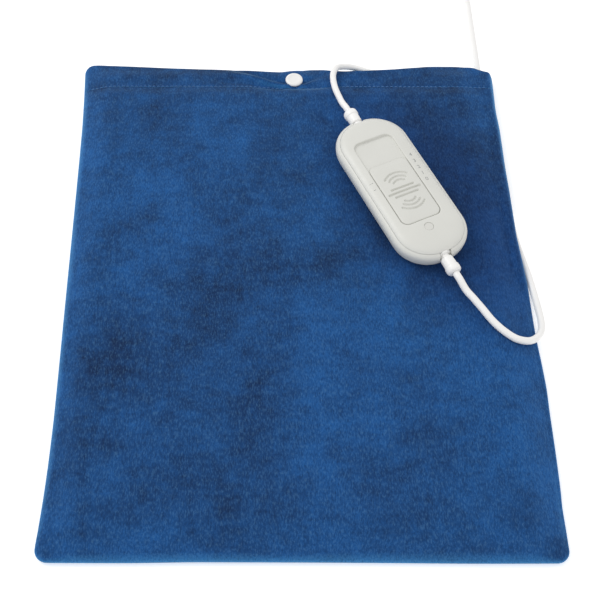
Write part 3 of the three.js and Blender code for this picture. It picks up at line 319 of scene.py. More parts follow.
def rounded_loop(width, length, radius, z, y=0.0, arc=16, straight=10):
    """A rounded rectangle of as many points whatever its size, anticlockwise from +X, with its
    height z or heights from a function z."""
    half_x, half_y = width / 2, length / 2
    radius = max(min(radius, half_x, half_y), 0.01)
    centres = [
        (half_x - radius, half_y - radius), (radius - half_x, half_y - radius),
        (radius - half_x, radius - half_y), (half_x - radius, radius - half_y),
    ]
    corners = []
    for quarter, (cx, cy) in enumerate(centres):
        angles = (quarter + np.linspace(0, 1, arc + 1)) * math.pi / 2
        corners.append(np.c_[cx + radius * np.cos(angles), cy + radius * np.sin(angles)])
    points = []
    for here, after in zip(corners, corners[1:] + corners[:1]):
        points.append(here)
        shares = np.linspace(0, 1, straight + 1)[1:-1, None]
        points.append(here[-1] * (1 - shares) + after[0] * shares)
    flat = np.concatenate(points)
    heights = z(flat[:, 0], flat[:, 1] + y) if callable(z) else np.full(len(flat), float(z))
    return np.c_[flat[:, 0], flat[:, 1] + y, heights]


def from_rim(side, end, radius, elsewhere):
    """Distance from a rim with rounded corners, from the distances to its two straight edges."""
    corner = radius - np.hypot(np.maximum(radius - side, 0), np.maximum(radius - end, 0))
    return np.where((side < radius) & (end < radius), corner, elsewhere)


def inset_of(x, y, width, length, radius):
    """How far a point lies inside a rounded rectangle."""
    side, end = width / 2 - np.abs(x), length / 2 - np.abs(y)
    return from_rim(side, end, radius, np.minimum(side, end))


GRID_RIM = (np.s_[0, :], np.s_[-1, :], np.s_[:, 0], np.s_[:, -1])


def grid_faces(index):
    """Faces between the points of a grid of point numbers."""
    corners = (index[:-1, :-1], index[:-1, 1:], index[1:, 1:], index[1:, :-1])
    return np.stack(corners, -1).reshape(-1, 4)


def two_sided(xs, ys, top, under):
    """A closed sheet from two grids of heights over the same plan, joined at the rim."""
    index = np.arange(xs.size).reshape(xs.shape)
    below = index + xs.size
    for line in GRID_RIM:
        below[line] = index[line]
    points = np.concatenate([
        np.c_[xs.ravel(), ys.ravel(), top.ravel()],
        np.c_[xs.ravel(), ys.ravel(), under.ravel()],
    ])
    faces = np.concatenate([grid_faces(index), grid_faces(below)[:, ::-1]])
    used = np.zeros(len(points), bool)
    used[np.unique(faces)] = True
    renumber = np.cumsum(used) - 1
    return points[used], renumber[faces]


def applied(obj):
    """The object's mesh with its modifiers in it."""
    graph = bpy.context.evaluated_depsgraph_get()
    return bpy.data.meshes.new_from_object(obj.evaluated_get(graph))


def cut(obj, cutters):
    """Cuts closed (points, faces) in the controller's frame out of a piece of it."""
    finish, slot = obj.data.materials[0], obj["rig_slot"]
    bodies = [
        controller_piece(f"{obj.name}_cutter_{k}", points, faces, finish, slot, False)
        for k, (points, faces) in enumerate(cutters)
    ]
    for body in bodies:
        modifier = obj.modifiers.new("cut", "BOOLEAN")
        modifier.operation = "DIFFERENCE"
        modifier.solver = "EXACT"
        modifier.object = body
    mesh = applied(obj)
    obj.modifiers.clear()
    obj.data = mesh
    for body in bodies:
        bpy.data.objects.remove(body)
    mesh.shade_smooth()
    mesh.set_sharp_from_angle(angle=math.radians(40))


def cylinder(radius, low, high, x=0.0, y=0.0, top_radius=None, segments=32):
    """A closed upright cylinder or cone."""
    outline = [(radius, low), (radius if top_radius is None else top_radius, high)]
    points, faces = loops_mesh(turned_loops(outline, segments))
    return points + np.array([x, y, 0.0]), faces


def merged(parts):
    """Several (points, faces) as one."""
    points, faces, start = [], [], 0
    for part_points, part_faces in parts:
        points.append(np.asarray(part_points, float))
        faces += [tuple(i + start for i in f) for f in part_faces]
        start += len(part_points)
    return np.concatenate(points), faces


# Shader helpers

def linear(red, green, blue):
    """The shader's colour for a screen colour whose parts run from 0 to 255."""
    parts = (c / 255 for c in (red, green, blue))
    return (*(p / 12.92 if p <= 0.04045 else ((p + 0.055) / 1.055) ** 2.4 for p in parts), 1.0)


def tint(colour, share=1.0):
    """A setting's colour, darkened to a share of itself."""
    return (*(c * share for c in colour), 1.0)


def start_group(name, inputs, outputs):
    """A node group with its sockets, and the ends of its inputs and outputs inside."""
    tree = bpy.data.node_groups.new(name, "ShaderNodeTree")
    for title, kind, value in inputs:
        socket = tree.interface.new_socket(name=title, in_out="INPUT", socket_type=kind)
        socket.default_value = value
    for title, kind in outputs:
        tree.interface.new_socket(name=title, in_out="OUTPUT", socket_type=kind)
    return tree, tree.nodes.new("NodeGroupInput").outputs, tree.nodes.new("NodeGroupOutput").inputs


def node(tree, kind, inputs, **settings):
    """A shader node with its settings, and with values or links at its inputs."""
    made = tree.nodes.new("ShaderNode" + kind)
    for key, value in settings.items():
        setattr(made, key, value)
    for key, value in inputs.items():
        socket = made.inputs[key]
        if isinstance(value, bpy.types.NodeSocket):
            tree.links.new(value, socket)
        else:
            socket.default_value = value
    return made


def reckon(tree, operation, a, b=0.0, c=0.0):
    """A sum on values or links."""
    return node(tree, "Math", {0: a, 1: b, 2: c}, operation=operation).outputs[0]


def noise(tree, place, scale, detail=2.0, roughness=0.5):
    """Noise from 0 to 1 round 0.5, in lumps of about a metre over the scale."""
    inputs = {"Vector": place, "Scale": scale, "Detail": detail, "Roughness": roughness}
    return node(tree, "TexNoise", inputs).outputs[0]


def remap(tree, value, low, high, to_low=0.0, to_high=1.0):
    """A value's range stretched to another and held within it."""
    return node(tree, "MapRange", {0: value, 1: low, 2: high, 3: to_low, 4: to_high}).outputs[0]


def mix(tree, share, a, b, blend="MIX"):
    """Colour a, with a share of colour b laid over it."""
    inputs = {0: share, 6: a, 7: b}
    return node(tree, "Mix", inputs, data_type="RGBA", blend_type=blend).outputs[2]


def object_place(tree):
    """Object coordinates, which are the frame's own."""
    return node(tree, "TexCoord", {}).outputs["Object"]


def stretch(tree, x, y):
    """Object coordinates with X and Y times a factor each."""
    inputs = {0: object_place(tree), 1: (x, y, 1)}
    return node(tree, "VectorMath", inputs, operation="MULTIPLY").outputs[0]


# Colours of the painted highlights on the tufts' tips and of the painted shade between them, and
# the zone round the controller where the pile is pressed down and a painted shadow of the
# controller falls, in metres

PILE_GLINT = (0.12, 0.27, 0.42, 1)
PILE_GAP_SHADE = (0.006, 0.02, 0.055, 1)
SHADOW_AND_PRESSED_AT = (0.104, 0.062, 0)
SHADOW_AND_PRESSED_REACH = (0.09, 0.165, 1)
SHADOW_AND_PRESSED_TINT = (0.55, 0.53, 0.62, 1)


def pile_group():
    """Short plush pile: brushed clouds of colour, streaks of nap, painted shading that is lighter
    on slopes facing sideways or towards the near side, painted glints on the tufts and painted
    shade in the gaps between them, and a painted rim light where the cloth turns over."""
    tree, given, out = start_group("Plush pile", [
        ("Dark", "NodeSocketColor", (0.02, 0.05, 0.14, 1)),
        ("Light", "NodeSocketColor", (0.04, 0.13, 0.32, 1)),
        ("Painted Rim Light", "NodeSocketColor", (0.06, 0.24, 0.48, 1)),
        ("Cloud Scale", "NodeSocketFloat", 22.0),
        ("Streak Scale", "NodeSocketFloat", 260.0),
        ("Pile Scale", "NodeSocketFloat", 900.0),
        ("Slope Shade", "NodeSocketFloat", 0.14),
    ], [("Color", "NodeSocketColor"), ("Height", "NodeSocketFloat")])
    cloud = given["Cloud Scale"]
    brushed = noise(tree, stretch(tree, 1, 0.8), reckon(tree, "MULTIPLY", cloud, 0.42), 1.5, 0.5)
    clouds = noise(tree, object_place(tree), cloud, 3.0, 0.6)
    patches = noise(tree, stretch(tree, 0.8, 1.5), reckon(tree, "MULTIPLY", cloud, 3.4), 3.0, 0.6)
    streaks = noise(tree, stretch(tree, 1.1, 0.3), given["Streak Scale"], 3.0, 0.7)
    pile = noise(tree, stretch(tree, 1.2, 0.42), given["Pile Scale"], 2.0, 0.7)
    tone = reckon(tree, "MULTIPLY", patches, 0.2)
    for layer, share in ((clouds, 0.34), (brushed, 0.24), (streaks, 0.16), (pile, 0.06)):
        tone = reckon(tree, "MULTIPLY_ADD", layer, share, tone)
    # Painted shading by slope: the pile is made lighter where the surface faces sideways or towards
    # the near side, and darker where it faces the far side.
    faces = node(tree, "SeparateXYZ", {0: node(tree, "NewGeometry", {}).outputs["Normal"]}).outputs
    facing_shade = reckon(tree, "SUBTRACT", reckon(tree, "ABSOLUTE", faces[0]), faces[1])
    tone = reckon(tree, "MULTIPLY_ADD", facing_shade, given["Slope Shade"], tone)
    base = mix(tree, remap(tree, tone, 0.375, 0.625), given["Dark"], given["Light"])
    # Painted rim light: the pile turns towards the lighter rim colour where the surface tips away
    # from upright, at the cover's rolled edges and on steep folds.
    rim = mix(tree, remap(tree, faces[2], 0.9, 0.25), base, given["Painted Rim Light"])
    # Painted highlights on the tufts and painted shade in the gaps between them, both driven by the
    # fine pile noise.
    glint = remap(tree, pile, 0.5, 0.72, 0.0, 0.24)
    gap_shade = remap(tree, pile, 0.5, 0.28, 0.0, 0.44)
    tuft_highlights = mix(tree, glint, rim, PILE_GLINT)
    tree.links.new(mix(tree, gap_shade, tuft_highlights, PILE_GAP_SHADE), out["Color"])
    height = reckon(tree, "MULTIPLY_ADD", pile, 0.6, reckon(tree, "MULTIPLY", streaks, 0.4))
    tree.links.new(height, out["Height"])
    return tree


def moulded_group():
    """Moulded plastic: a fine spark grain, slow drift of tone and faint handling marks."""
    tree, given, out = start_group("Moulded skin", [
        ("Colour", "NodeSocketColor", (0.7, 0.7, 0.68, 1)),
        ("Shade", "NodeSocketColor", (0.6, 0.6, 0.57, 1)),
        ("Roughness", "NodeSocketFloat", 0.45),
        ("Grain Scale", "NodeSocketFloat", 2600.0),
        ("Drift", "NodeSocketFloat", 0.5),
    ], [
        ("Color", "NodeSocketColor"),
        ("Roughness", "NodeSocketFloat"),
        ("Height", "NodeSocketFloat"),
    ])
    grain = noise(tree, object_place(tree), given["Grain Scale"])
    drift = noise(tree, object_place(tree), 38.0)
    smears = noise(tree, stretch(tree, 1, 3), 90.0, 3.0)
    share = reckon(tree, "MULTIPLY", remap(tree, drift, 0.35, 0.65), given["Drift"])
    tree.links.new(mix(tree, share, given["Colour"], given["Shade"]), out["Color"])
    rough = given["Roughness"]
    for layer, reach in ((smears, 0.16), (grain, 0.06)):
        rough = reckon(tree, "MULTIPLY_ADD", reckon(tree, "SUBTRACT", layer, 0.5), reach, rough)
    tree.links.new(rough, out["Roughness"])
    tree.links.new(grain, out["Height"])
    return tree


def weave_group():
    """Plain woven cloth: crossing threads with uneven tone."""
    tree, given, out = start_group("Plain weave", [
        ("Thread", "NodeSocketColor", (0.7, 0.68, 0.62, 1)),
        ("Gap", "NodeSocketColor", (0.4, 0.38, 0.33, 1)),
        ("Thread Scale", "NodeSocketFloat", 2200.0),
    ], [("Color", "NodeSocketColor"), ("Height", "NodeSocketFloat")])
    place = node(tree, "SeparateXYZ", {0: object_place(tree)}).outputs
    across, along = (
        reckon(tree, "SINE", reckon(tree, "MULTIPLY", axis, given["Thread Scale"]))
        for axis in (place["X"], place["Y"])
    )
    cross = reckon(tree, "MULTIPLY_ADD", reckon(tree, "MULTIPLY", across, along), 0.5, 0.5)
    uneven = noise(tree, object_place(tree), 420.0)
    height = reckon(tree, "MULTIPLY_ADD", uneven, 0.5, reckon(tree, "MULTIPLY", cross, 0.5))
    tree.links.new(mix(tree, height, given["Gap"], given["Thread"]), out["Color"])
    tree.links.new(height, out["Height"])
    return tree


# Shared effects by the name of their maker, and finishes by a short name

GROUPS = {}
LOOKS = {}


def effect(tree, maker, inputs):
    """A node of a shared effect, with its own values."""
    if maker.__name__ not in GROUPS:
        GROUPS[maker.__name__] = maker()
    made = tree.nodes.new("ShaderNodeGroup")
    made.node_tree = GROUPS[maker.__name__]
    for key, value in inputs.items():
        made.inputs[key].default_value = value
    return made.outputs


def look(name, **constants):
    """A material with constants on the shader's own sockets."""
    material = bpy.data.materials.new(name)
    material.use_nodes = True
    tree = material.node_tree
    shader = next(n for n in tree.nodes if n.type == "BSDF_PRINCIPLED")
    for key, value in constants.items():
        title = key.replace("_", " ").title().replace("Ior", "IOR")
        shader.inputs[title].default_value = value
    return material, tree, shader


def skin(tree, shader, colour, height, strength, depth):
    """Feeds the shader a colour and a relief of that depth in metres."""
    tree.links.new(colour, shader.inputs["Base Color"])
    bump = node(tree, "Bump", {"Strength": strength, "Distance": depth, "Height": height})
    tree.links.new(bump.outputs[0], shader.inputs["Normal"])


def plush_look():
    """The cover's plush, darker round the controller, partly where the pile is pressed down and
    partly as a painted shadow of the controller.
    """
    s = bpy.context.scene.plush_settings
    material, tree, shader = look(
        "Blue plush", roughness=0.95, sheen_weight=0.35, sheen_roughness=0.45,
        sheen_tint=(0.32, 0.58, 0.9, 1), specular_ior_level=0.15,
    )
    out = effect(tree, pile_group, {
        "Dark": tint(s.dark), "Light": tint(s.light), "Painted Rim Light": tint(s.rim),
        "Cloud Scale": 1 / s.cloud_size, "Streak Scale": 1 / s.streak_size,
        "Pile Scale": 1 / s.pile_size,
    })
    # Painted shadow of the controller together with the pile pressed down: the plush is multiplied
    # darker within an oval round the controller, and the darkening fades out towards the oval's
    # edge.
    around = node(tree, "Mapping", {
        "Vector": object_place(tree), "Location": SHADOW_AND_PRESSED_AT, "Rotation": (0, 0, CONTROLLER_TURN),
        "Scale": SHADOW_AND_PRESSED_REACH,
    }, vector_type="TEXTURE").outputs[0]
    away = node(tree, "VectorMath", {0: around}, operation="LENGTH").outputs["Value"]
    shadow_and_pressed = node(tree, "MapRange", {0: away, 1: 1.0, 2: 0.3}, interpolation_type="SMOOTHSTEP")
    shaded = mix(tree, shadow_and_pressed.outputs[0], out["Color"], SHADOW_AND_PRESSED_TINT, "MULTIPLY")
    skin(tree, shader, shaded, out["Height"], 0.55, 0.0011)
    return material


def plastic_look(
        name, colour, shade, roughness=0.42, grain=2600.0, drift=0.5, bump=0.2, **constants):
    """Moulded plastic, and hard goods like it."""
    material, tree, shader = look(name, **constants)
    out = effect(tree, moulded_group, {
        "Colour": colour, "Shade": shade, "Roughness": roughness, "Grain Scale": grain,
        "Drift": drift,
    })
    tree.links.new(out["Roughness"], shader.inputs["Roughness"])
    skin(tree, shader, out["Color"], out["Height"], bump, 0.00006)
    return material


def woven_look(name, thread, gap, scale, roughness=0.9, depth=0.0002):
    """Woven cloth or thread."""
    material, tree, shader = look(name, roughness=roughness, sheen_weight=0.15)
    out = effect(tree, weave_group, {"Thread": thread, "Gap": gap, "Thread Scale": scale})
    skin(tree, shader, out["Color"], out["Height"], 0.5, depth)
    return material


def felted_look(name, dark, light, scale):
    """Matted fibre without a nap."""
    material, tree, shader = look(name, roughness=0.97, sheen_weight=0.2)
    out = effect(tree, pile_group, {
        "Dark": dark, "Light": light, "Painted Rim Light": light, "Cloud Scale": scale,
        "Streak Scale": scale * 8, "Pile Scale": scale * 24, "Slope Shade": 0.0,
    })
    skin(tree, shader, out["Color"], out["Height"], 0.6, 0.0005)
    return material


def make_looks():
    """Makes every finish once, from the settings and plain colours."""
    s = bpy.context.scene.plastic_settings
    grey, white = s.housing, s.vinyl
    LOOKS["plush"] = plush_look()
    LOOKS["thread"] = woven_look(
        "Sewing thread", linear(84, 132, 190), linear(58, 102, 158), 9000.0, 0.7, 0.0001)
    LOOKS["casing"] = woven_look(
        "Casing cloth", linear(226, 222, 210), linear(190, 184, 170), 3600.0)
    LOOKS["wadding"] = felted_look(
        "White wadding", linear(224, 220, 210), linear(246, 243, 236), 30.0)
    LOOKS["felt"] = felted_look("Felt", linear(206, 192, 164), linear(232, 222, 200), 40.0)
    plastics = {
        "housing": ("Housing plastic", tint(grey), tint(grey, 0.96), 0.4, 2400.0, 0.6, 0.25),
        "knob": ("Slider plastic", tint(grey, 0.98), tint(grey, 0.95), 0.46, 1800.0, 0.6, 0.35),
        "vinyl": ("White vinyl", tint(white), tint(white, 0.95), 0.38, 1500.0, 0.4, 0.15),
        "snap": ("Snap plastic", tint(white, 0.93), tint(white, 0.87), 0.3, 1200.0, 0.5, 0.12),
        "print": ("Grey print", linear(160, 162, 160), linear(146, 148, 146), 0.6, 3000.0),
        "black": ("Black plastic", linear(30, 31, 33), linear(44, 45, 47), 0.45, 1800.0, 0.6, 0.3),
        "board": ("Circuit board", linear(38, 96, 58), linear(30, 82, 52), 0.35, 700.0, 0.8, 0.3),
        "film": ("Yellow film", linear(214, 172, 56), linear(196, 150, 44), 0.4, 600.0, 0.6),
        "ceramic": ("Ceramic", linear(232, 228, 218), linear(214, 209, 198), 0.6, 800.0, 0.7, 0.5),
        "sleeve": ("Heater sleeve", linear(176, 70, 48), linear(150, 56, 40), 0.5, 1400.0, 0.6),
    }
    for name, values in plastics.items():
        LOOKS[name] = plastic_look(*values)
    LOOKS["lens"] = plastic_look(
        "Lamp lens", linear(220, 220, 214), linear(212, 211, 205), 0.34, 900.0, 0.5, 0.1,
        coat_weight=0.2, coat_roughness=0.2)
    LOOKS["copper"] = plastic_look(
        "Copper", (0.86, 0.42, 0.25, 1), (0.72, 0.32, 0.18, 1), 0.3, 1800.0, 0.6, 0.2,
        metallic=1.0)
    LOOKS["nickel"] = plastic_look(
        "Nickel", (0.62, 0.61, 0.58, 1), (0.5, 0.49, 0.46, 1), 0.28, 2200.0, 0.6, 0.15,
        metallic=1.0)


# The plan of the cover: how far each edge lies from the middle along its run, as it wanders in the
# photograph

SIDE_LEFT = profile([(-200, 161.2), (-192, 161.2), (-179, 160.3), (-153, 158.8), (-126, 157.9),
                     (-98, 157.5), (-6, 157.7), (62, 157.8), (138, 158.2), (158, 158.7),
                     (178, 159.4), (200, 160.4)])
SIDE_RIGHT = profile([(-200, 161.8), (-179, 161.8), (-166, 161.7), (-153, 162.4), (-126, 163.1),
                      (-98, 163.5), (-83, 163.9), (-68, 163.5), (-38, 162.3), (-6, 162.2),
                      (9, 161.3), (24, 160.4), (41, 159.6), (98, 159.6), (136, 159.9),
                      (156, 159.2), (177, 159.8), (200, 160.5)])
FAR_EDGE = profile([(-160, 202), (-150, 201.2), (-140, 199.7), (-124, 198.6), (-108, 197.6),
                    (-85, 196.2), (-61, 195), (-38, 194), (-24, 194.2), (-6, 194.9), (2, 195),
                    (17, 197), (25, 196.6), (35, 193.9), (48, 191.9), (63, 192.8), (79, 193.8),
                    (95, 195.2), (103, 195.8), (111, 197.2), (120, 198.8), (129, 199), (136, 198.5),
                    (143, 196.8), (150, 193.4), (155, 191.6), (160, 191.2)])
NEAR_EDGE = profile([(-160, 199.6), (-110, 199.7), (-60, 199.1), (0, 199.2), (60, 199.5),
                     (110, 199.8), (160, 199.6)])


def ridge(x, y):
    """How far the cover rides over the mains lead, which passes under its right side."""
    near_crest, far_crest = 162, 150
    off = x - (near_crest + (far_crest - near_crest) * ease(y, 40, 100))
    outer, inner = 1 - ease(off, 5, 14), 1 - ease(-off, 3, 26)
    return LEAD_RIDGE * ease(y, -24, 19) * outer * inner


def dip(x, y):
    """How far the snap pulls the front of the mouth down."""
    aside, reach_in, reach_out = 42.0, 13.5, 34.0
    foot = np.where(y < SNAP[1], reach_in, reach_out)
    across = np.maximum(np.abs(x - SNAP[0]) - SNAP_FLAT, 0) / (aside - SNAP_FLAT)
    inward = np.maximum(np.abs(y - SNAP[1]) - SNAP_FLAT, 0) / (foot - SNAP_FLAT)
    return SNAP_DIP * (1 - ease(np.hypot(across, inward), 0, 1))


def slump(x, y):
    """How far the free edge sinks at the mouth, apart from over the pad lead and at the snap."""
    over_lead = ease(x, 40, 58) * (1 - ease(x, 104, 122))
    off_snap = ease(np.hypot(x - SNAP[0], y - SNAP[1]), 8, 16)
    return MOUTH_SLUMP * (1 - over_lead) * ease(y, 184, 198) * off_snap


def higher_of(a, b, blend):
    """The greater of two heights, eased where they cross."""
    return (a + b + np.sqrt((a - b) ** 2 + blend**2)) / 2


def from_controller(x, y):
    """Distance from the straight part of the controller's long axis."""
    reach = (HOUSING_LENGTH - HOUSING_WIDTH) / 2
    dx, dy = x - CONTROLLER_AT[0], y - CONTROLLER_AT[1]
    along = dy * math.cos(CONTROLLER_TURN) - dx * math.sin(CONTROLLER_TURN)
    across = dy * math.sin(CONTROLLER_TURN) + dx * math.cos(CONTROLLER_TURN)
    return np.hypot(across, np.maximum(np.abs(along) - reach, 0))


def pillow(inset):
    """Share of the full height, rising from a sewn edge and levelling off over the filling."""
    return np.sin(np.clip(inset / (SEAM_MARGIN + 2), 0, 1) * math.pi / 2)


def front_under(x, y):
    """Underside of the front of the cover, which rises from its seams to a plateau, crowned apart
    from a flat bed under the controller, and rides over the mains lead."""
    lift = pillow(COVER_HALF_WIDTH - np.abs(x)) * pillow(y + COVER_HALF_LENGTH)
    full = PLATEAU_UNDER + (MOUTH_UNDER - PLATEAU_UNDER) * ease(y, INNER_FAR, HEM_START)
    bed = HOUSING_WIDTH / 2 + 16
    swell = np.cos(math.pi / 2 * x / COVER_HALF_WIDTH) * np.cos(math.pi / 2 * y / COVER_HALF_LENGTH)
    crown = COVER_CROWN * np.maximum(swell, 0) * ease(from_controller(x, y), bed, bed + 45)
    base = SEAM_UNDER + (full - dip(x, y) - slump(x, y) - SEAM_UNDER) * lift + crown * lift
    rise = ridge(x, y)
    return higher_of(base, rise + SEAM_UNDER, 0.18 * rise)


def fold(x, y, start, end, width, height):
    """A soft crest between two points, tapering away at its far end."""
    ax, ay = start
    dx, dy = end[0] - ax, end[1] - ay
    along = ((x - ax) * dx + (y - ay) * dy) / (dx * dx + dy * dy)
    held = np.clip(along, 0, 1)
    off = np.hypot(x - ax - held * dx, y - ay - held * dy)
    taper = 1 - 0.75 * ease(held, 0.35, 1)
    return height * taper * np.exp(-((off / width) ** 2))


def near_line(x, y, line, reach):
    """1 beside a line of points and 0 beyond its reach."""
    least = np.full(x.shape, 1e9)
    for point in line:
        least = np.minimum(least, np.hypot(x - point[0], y - point[1]))
    return 1 - ease(least, reach * 0.4, reach)


# Waves as (height, squeeze along Y, size, seed), folds as (start, end, width, height)

FRONT_WAVES = ((0.8, 1.0, 74, 3), (0.45, 0.8, 31, 8), (0.16, 1.0, 11, 21))
LEFT_FOLDS = (
    ((-1.5, 176.8), (-46, 189.5), 2.6, 2.7), ((-4, 181.2), (-42, 193), 3.4, -1.9),
    ((-6, 174.2), (-60, 181.5), 2.4, -1.0),
)
RIGHT_FOLDS = (((10.6, 176.9), (25, 185.6), 2.4, 2.3), ((13, 181.6), (32, 190), 3.6, -1.9))


def front_relief(x, y):
    """Waves of the front and folds beside the snap, over the solids' surface."""
    settled = 1 - ease(from_controller(x, y), 30, 55)
    for line, reach in ((PAD_LEAD_ON_TOP, 16), (MAINS_LEAD_ON_TOP, 18)):
        settled = np.maximum(settled, near_line(x, y, line, reach))
    waves = sum(
        height * soft_noise(x, y * squeeze, size, seed)
        for height, squeeze, size, seed in FRONT_WAVES
    )
    left, right = (sum(fold(x, y, *f) for f in folds) for folds in (LEFT_FOLDS, RIGHT_FOLDS))
    clear = 1 - near_line(x, y, PAD_LEAD_ON_TOP[1:6], 5) * 0.8
    return (waves - 0.5) * (1 - settled) + (left + right) * clear


def far_radius(x):
    """Corner radius at the mouth, which is smaller on the side where the mains lead comes out."""
    return np.where(x > 0, FAR_RIGHT_CORNER, COVER_CORNER)


def corner_cut(x, radius):
    """How far a rounded corner falls back from the straight edge."""
    beyond = np.maximum(np.abs(x) - (COVER_HALF_WIDTH - radius), 0)
    return radius - np.sqrt(np.maximum(radius**2 - beyond**2, 0))


def cover_grid(columns, rows):
    """Plan points of the cover from columns across and rows up it, both in nominal millimetres."""
    u = columns / COVER_HALF_WIDTH
    near = -NEAR_EDGE(columns) + corner_cut(columns, COVER_CORNER)
    far = FAR_EDGE(columns) - corner_cut(columns, far_radius(columns))
    up, past_hem = (rows + COVER_HALF_LENGTH)[:, None], (rows - HEM_START)[:, None]
    below = near + up * (HEM_START - near) / (HEM_START + COVER_HALF_LENGTH)
    above = HEM_START + past_hem * (far - HEM_START) / (COVER_HALF_LENGTH - HEM_START)
    ys = np.where((rows <= HEM_START)[:, None], below, above)
    xs = np.where(u >= 0, u * SIDE_RIGHT(ys), u * SIDE_LEFT(ys))
    return xs, ys


def rim_distances(xs, ys):
    """Distance of each plan point from the sewn edges, and from the open far edge."""
    side = np.where(xs >= 0, SIDE_RIGHT(ys), SIDE_LEFT(ys)) - np.abs(xs)
    near = ys + NEAR_EDGE(xs)
    far = FAR_EDGE(xs) - ys
    sewn = from_rim(side, near, COVER_CORNER, np.minimum(side, near))
    far = from_rim(side, far, far_radius(xs), far)
    return np.maximum(sewn, 0), np.maximum(far, 0)


def rounding(distance, reach):
    """Share of the full thickness, on a quarter circle from the rim."""
    return np.sqrt(np.maximum(1 - (1 - np.clip(distance / reach, 0, 1)) ** 2, 0))


def plush_sheet(name, xs, ys, top, under, level, hem_line):
    """A sheet of plush between two heights. It rounds off to the seam's level at the sewn edges
    and to its own middle at the mouth, and dents at the hem line."""
    sewn, far = rim_distances(xs, ys)
    q = rounding(far, MOUTH_ROUND)
    middle = (top + under) / 2
    top, under = middle + (top - middle) * q, middle + (under - middle) * q
    top = top - HEM_DENT * (1 - rounding(np.abs(ys - hem_line), HEM_DENT_REACH)) * (far > 3)
    q = rounding(sewn, SEWN_ROUND)
    top, under = level + (top - level) * q, level + (under - level) * q
    points, faces = two_sided(xs, ys, top, under)
    return piece(name, points, faces, LOOKS["plush"], "plush_blue")


def sheet_plan(rows, step):
    """Plan points of a sheet with those rows, and with columns close together at both sides."""
    return cover_grid(spaced(2 * COVER_HALF_WIDTH, 1.0, step) - COVER_HALF_WIDTH, rows)


def front_sheet(name, rows, hem_line, step):
    """The front, with its waves and folds fading out at the seams."""
    xs, ys = sheet_plan(rows, step)
    under = front_under(xs, ys)
    inside = ease(COVER_HALF_WIDTH - np.abs(xs), 0, 12) * ease(ys + COVER_HALF_LENGTH, 0, 12)
    relief = front_relief(xs, ys) * inside
    top, under = under + PLUSH + relief, under + 0.2 * relief
    return plush_sheet(name, xs, ys, top, under, SEAM_UNDER, hem_line)


def back_sheet(name, rows, hem_line, step, pocket):
    """The back, raised over the mains lead, and with a pocket for the snap's lower half."""
    xs, ys = sheet_plan(rows, step)
    under = ridge(xs, ys)
    top = under + PLUSH
    if pocket:
        away = np.hypot(xs - SNAP[0], ys - SNAP[1])
        under = under + SNAP_POCKET * (1 - ease(away, 6.5, 8.5))
    return plush_sheet(name, xs, ys, top, under, PLUSH, hem_line)


def stitches():
    """Thread that shows between stitch holes along the hem line."""
    parts = []
    angles = np.arange(6) * math.pi / 3
    for x in np.arange(-152, 152, STITCH_PITCH):
        if abs(x - SNAP[0]) < 0.5:
            continue
        across = np.array([x - STITCH_LENGTH / 2, x + STITCH_LENGTH / 2])
        level = front_under(across, np.full(2, HEM_START)) + PLUSH - STITCH_SINK
        loops = []
        for share, swell in ((0, 0.25), (0.12, 0.8), (0.5, 1), (0.88, 0.8), (1, 0.25)):
            sag = -0.35 * (2 * share - 1) ** 2
            middle = level[0] + (level[1] - level[0]) * share + sag
            loops.append(np.c_[
                np.full(6, across[0] + (across[1] - across[0]) * share),
                HEM_START - 0.1 + STITCH_RADIUS * swell * np.cos(angles),
                middle + STITCH_RADIUS * swell * np.sin(angles),
            ])
        parts.append(loops_mesh(loops))
    points, faces = merged(parts)
    return piece("hem_stitches", points, faces, LOOKS["thread"], "plush_blue")


def snap_weights(hem):
    """Reads the places of the hem's points, and does nothing more with them."""
    places = np.empty(len(hem.data.vertices) * 3)
    hem.data.vertices.foreach_get("co", places)


def snap_dome():
    """The snap's cap: a domed button with a rolled rim and a shallow dish."""
    under = MOUTH_UNDER - SNAP_DIP + PLUSH + 0.3
    outline = [(0.01, -1.6), (1.5, -1.6), (1.5, 0), (6.5, 0), (6.68, 0.15), (6.7, 0.5),
               (6.55, 0.95), (6.15, 1.35), (5.5, 1.6), (4.6, 1.7), (3.9, 1.62), (3.5, 1.45),
               (3.2, 1.36), (2.6, 1.34), (0.01, 1.42)]
    points, faces = loops_mesh(turned_loops([(r, under + h) for r, h in outline], 64))
    return piece("snap_dome", points + np.array([*SNAP, 0]), faces, LOOKS["snap"], "snap_white")


# Controller

CROWN = profile([(TOP_RIM, 14.1), (2.94, 14.2), (3.2, 14.5), (4.0, 15.16), (5.4, 15.95),
                 (7.4, 16.58), (10.5, 17.1), (14.5, 17.45), (20, 17.7), (CROWN_REACH, 17.8)])


def crown_height(x, y):
    """Height of the housing's top, before the track is set into it."""
    inset = inset_of(x, y, HOUSING_WIDTH, HOUSING_LENGTH, HOUSING_CORNER)
    return CROWN(np.clip(inset, TOP_RIM, CROWN_REACH))


def housing_loop(inset, z):
    """The housing's outline, drawn in by an inset."""
    width, length = HOUSING_WIDTH - 2 * inset, HOUSING_LENGTH - 2 * inset
    return rounded_loop(width, length, HOUSING_CORNER - inset, z)


def track_loop(grow, z):
    """The track's outline, which sits a little to one side of the housing's middle."""
    width, length = TRACK_WIDTH + 2 * grow, TRACK_LENGTH + 2 * grow
    loop = rounded_loop(width, length, TRACK_CORNER + grow, 0, TRACK_Y)
    loop[:, 0] += TRACK_X
    loop[:, 2] = z(loop[:, 0], loop[:, 1]) if callable(z) else z
    return loop


def below_crown(drop):
    """A height function that follows the crown at a depth below it."""
    return lambda x, y: crown_height(x, y) - drop


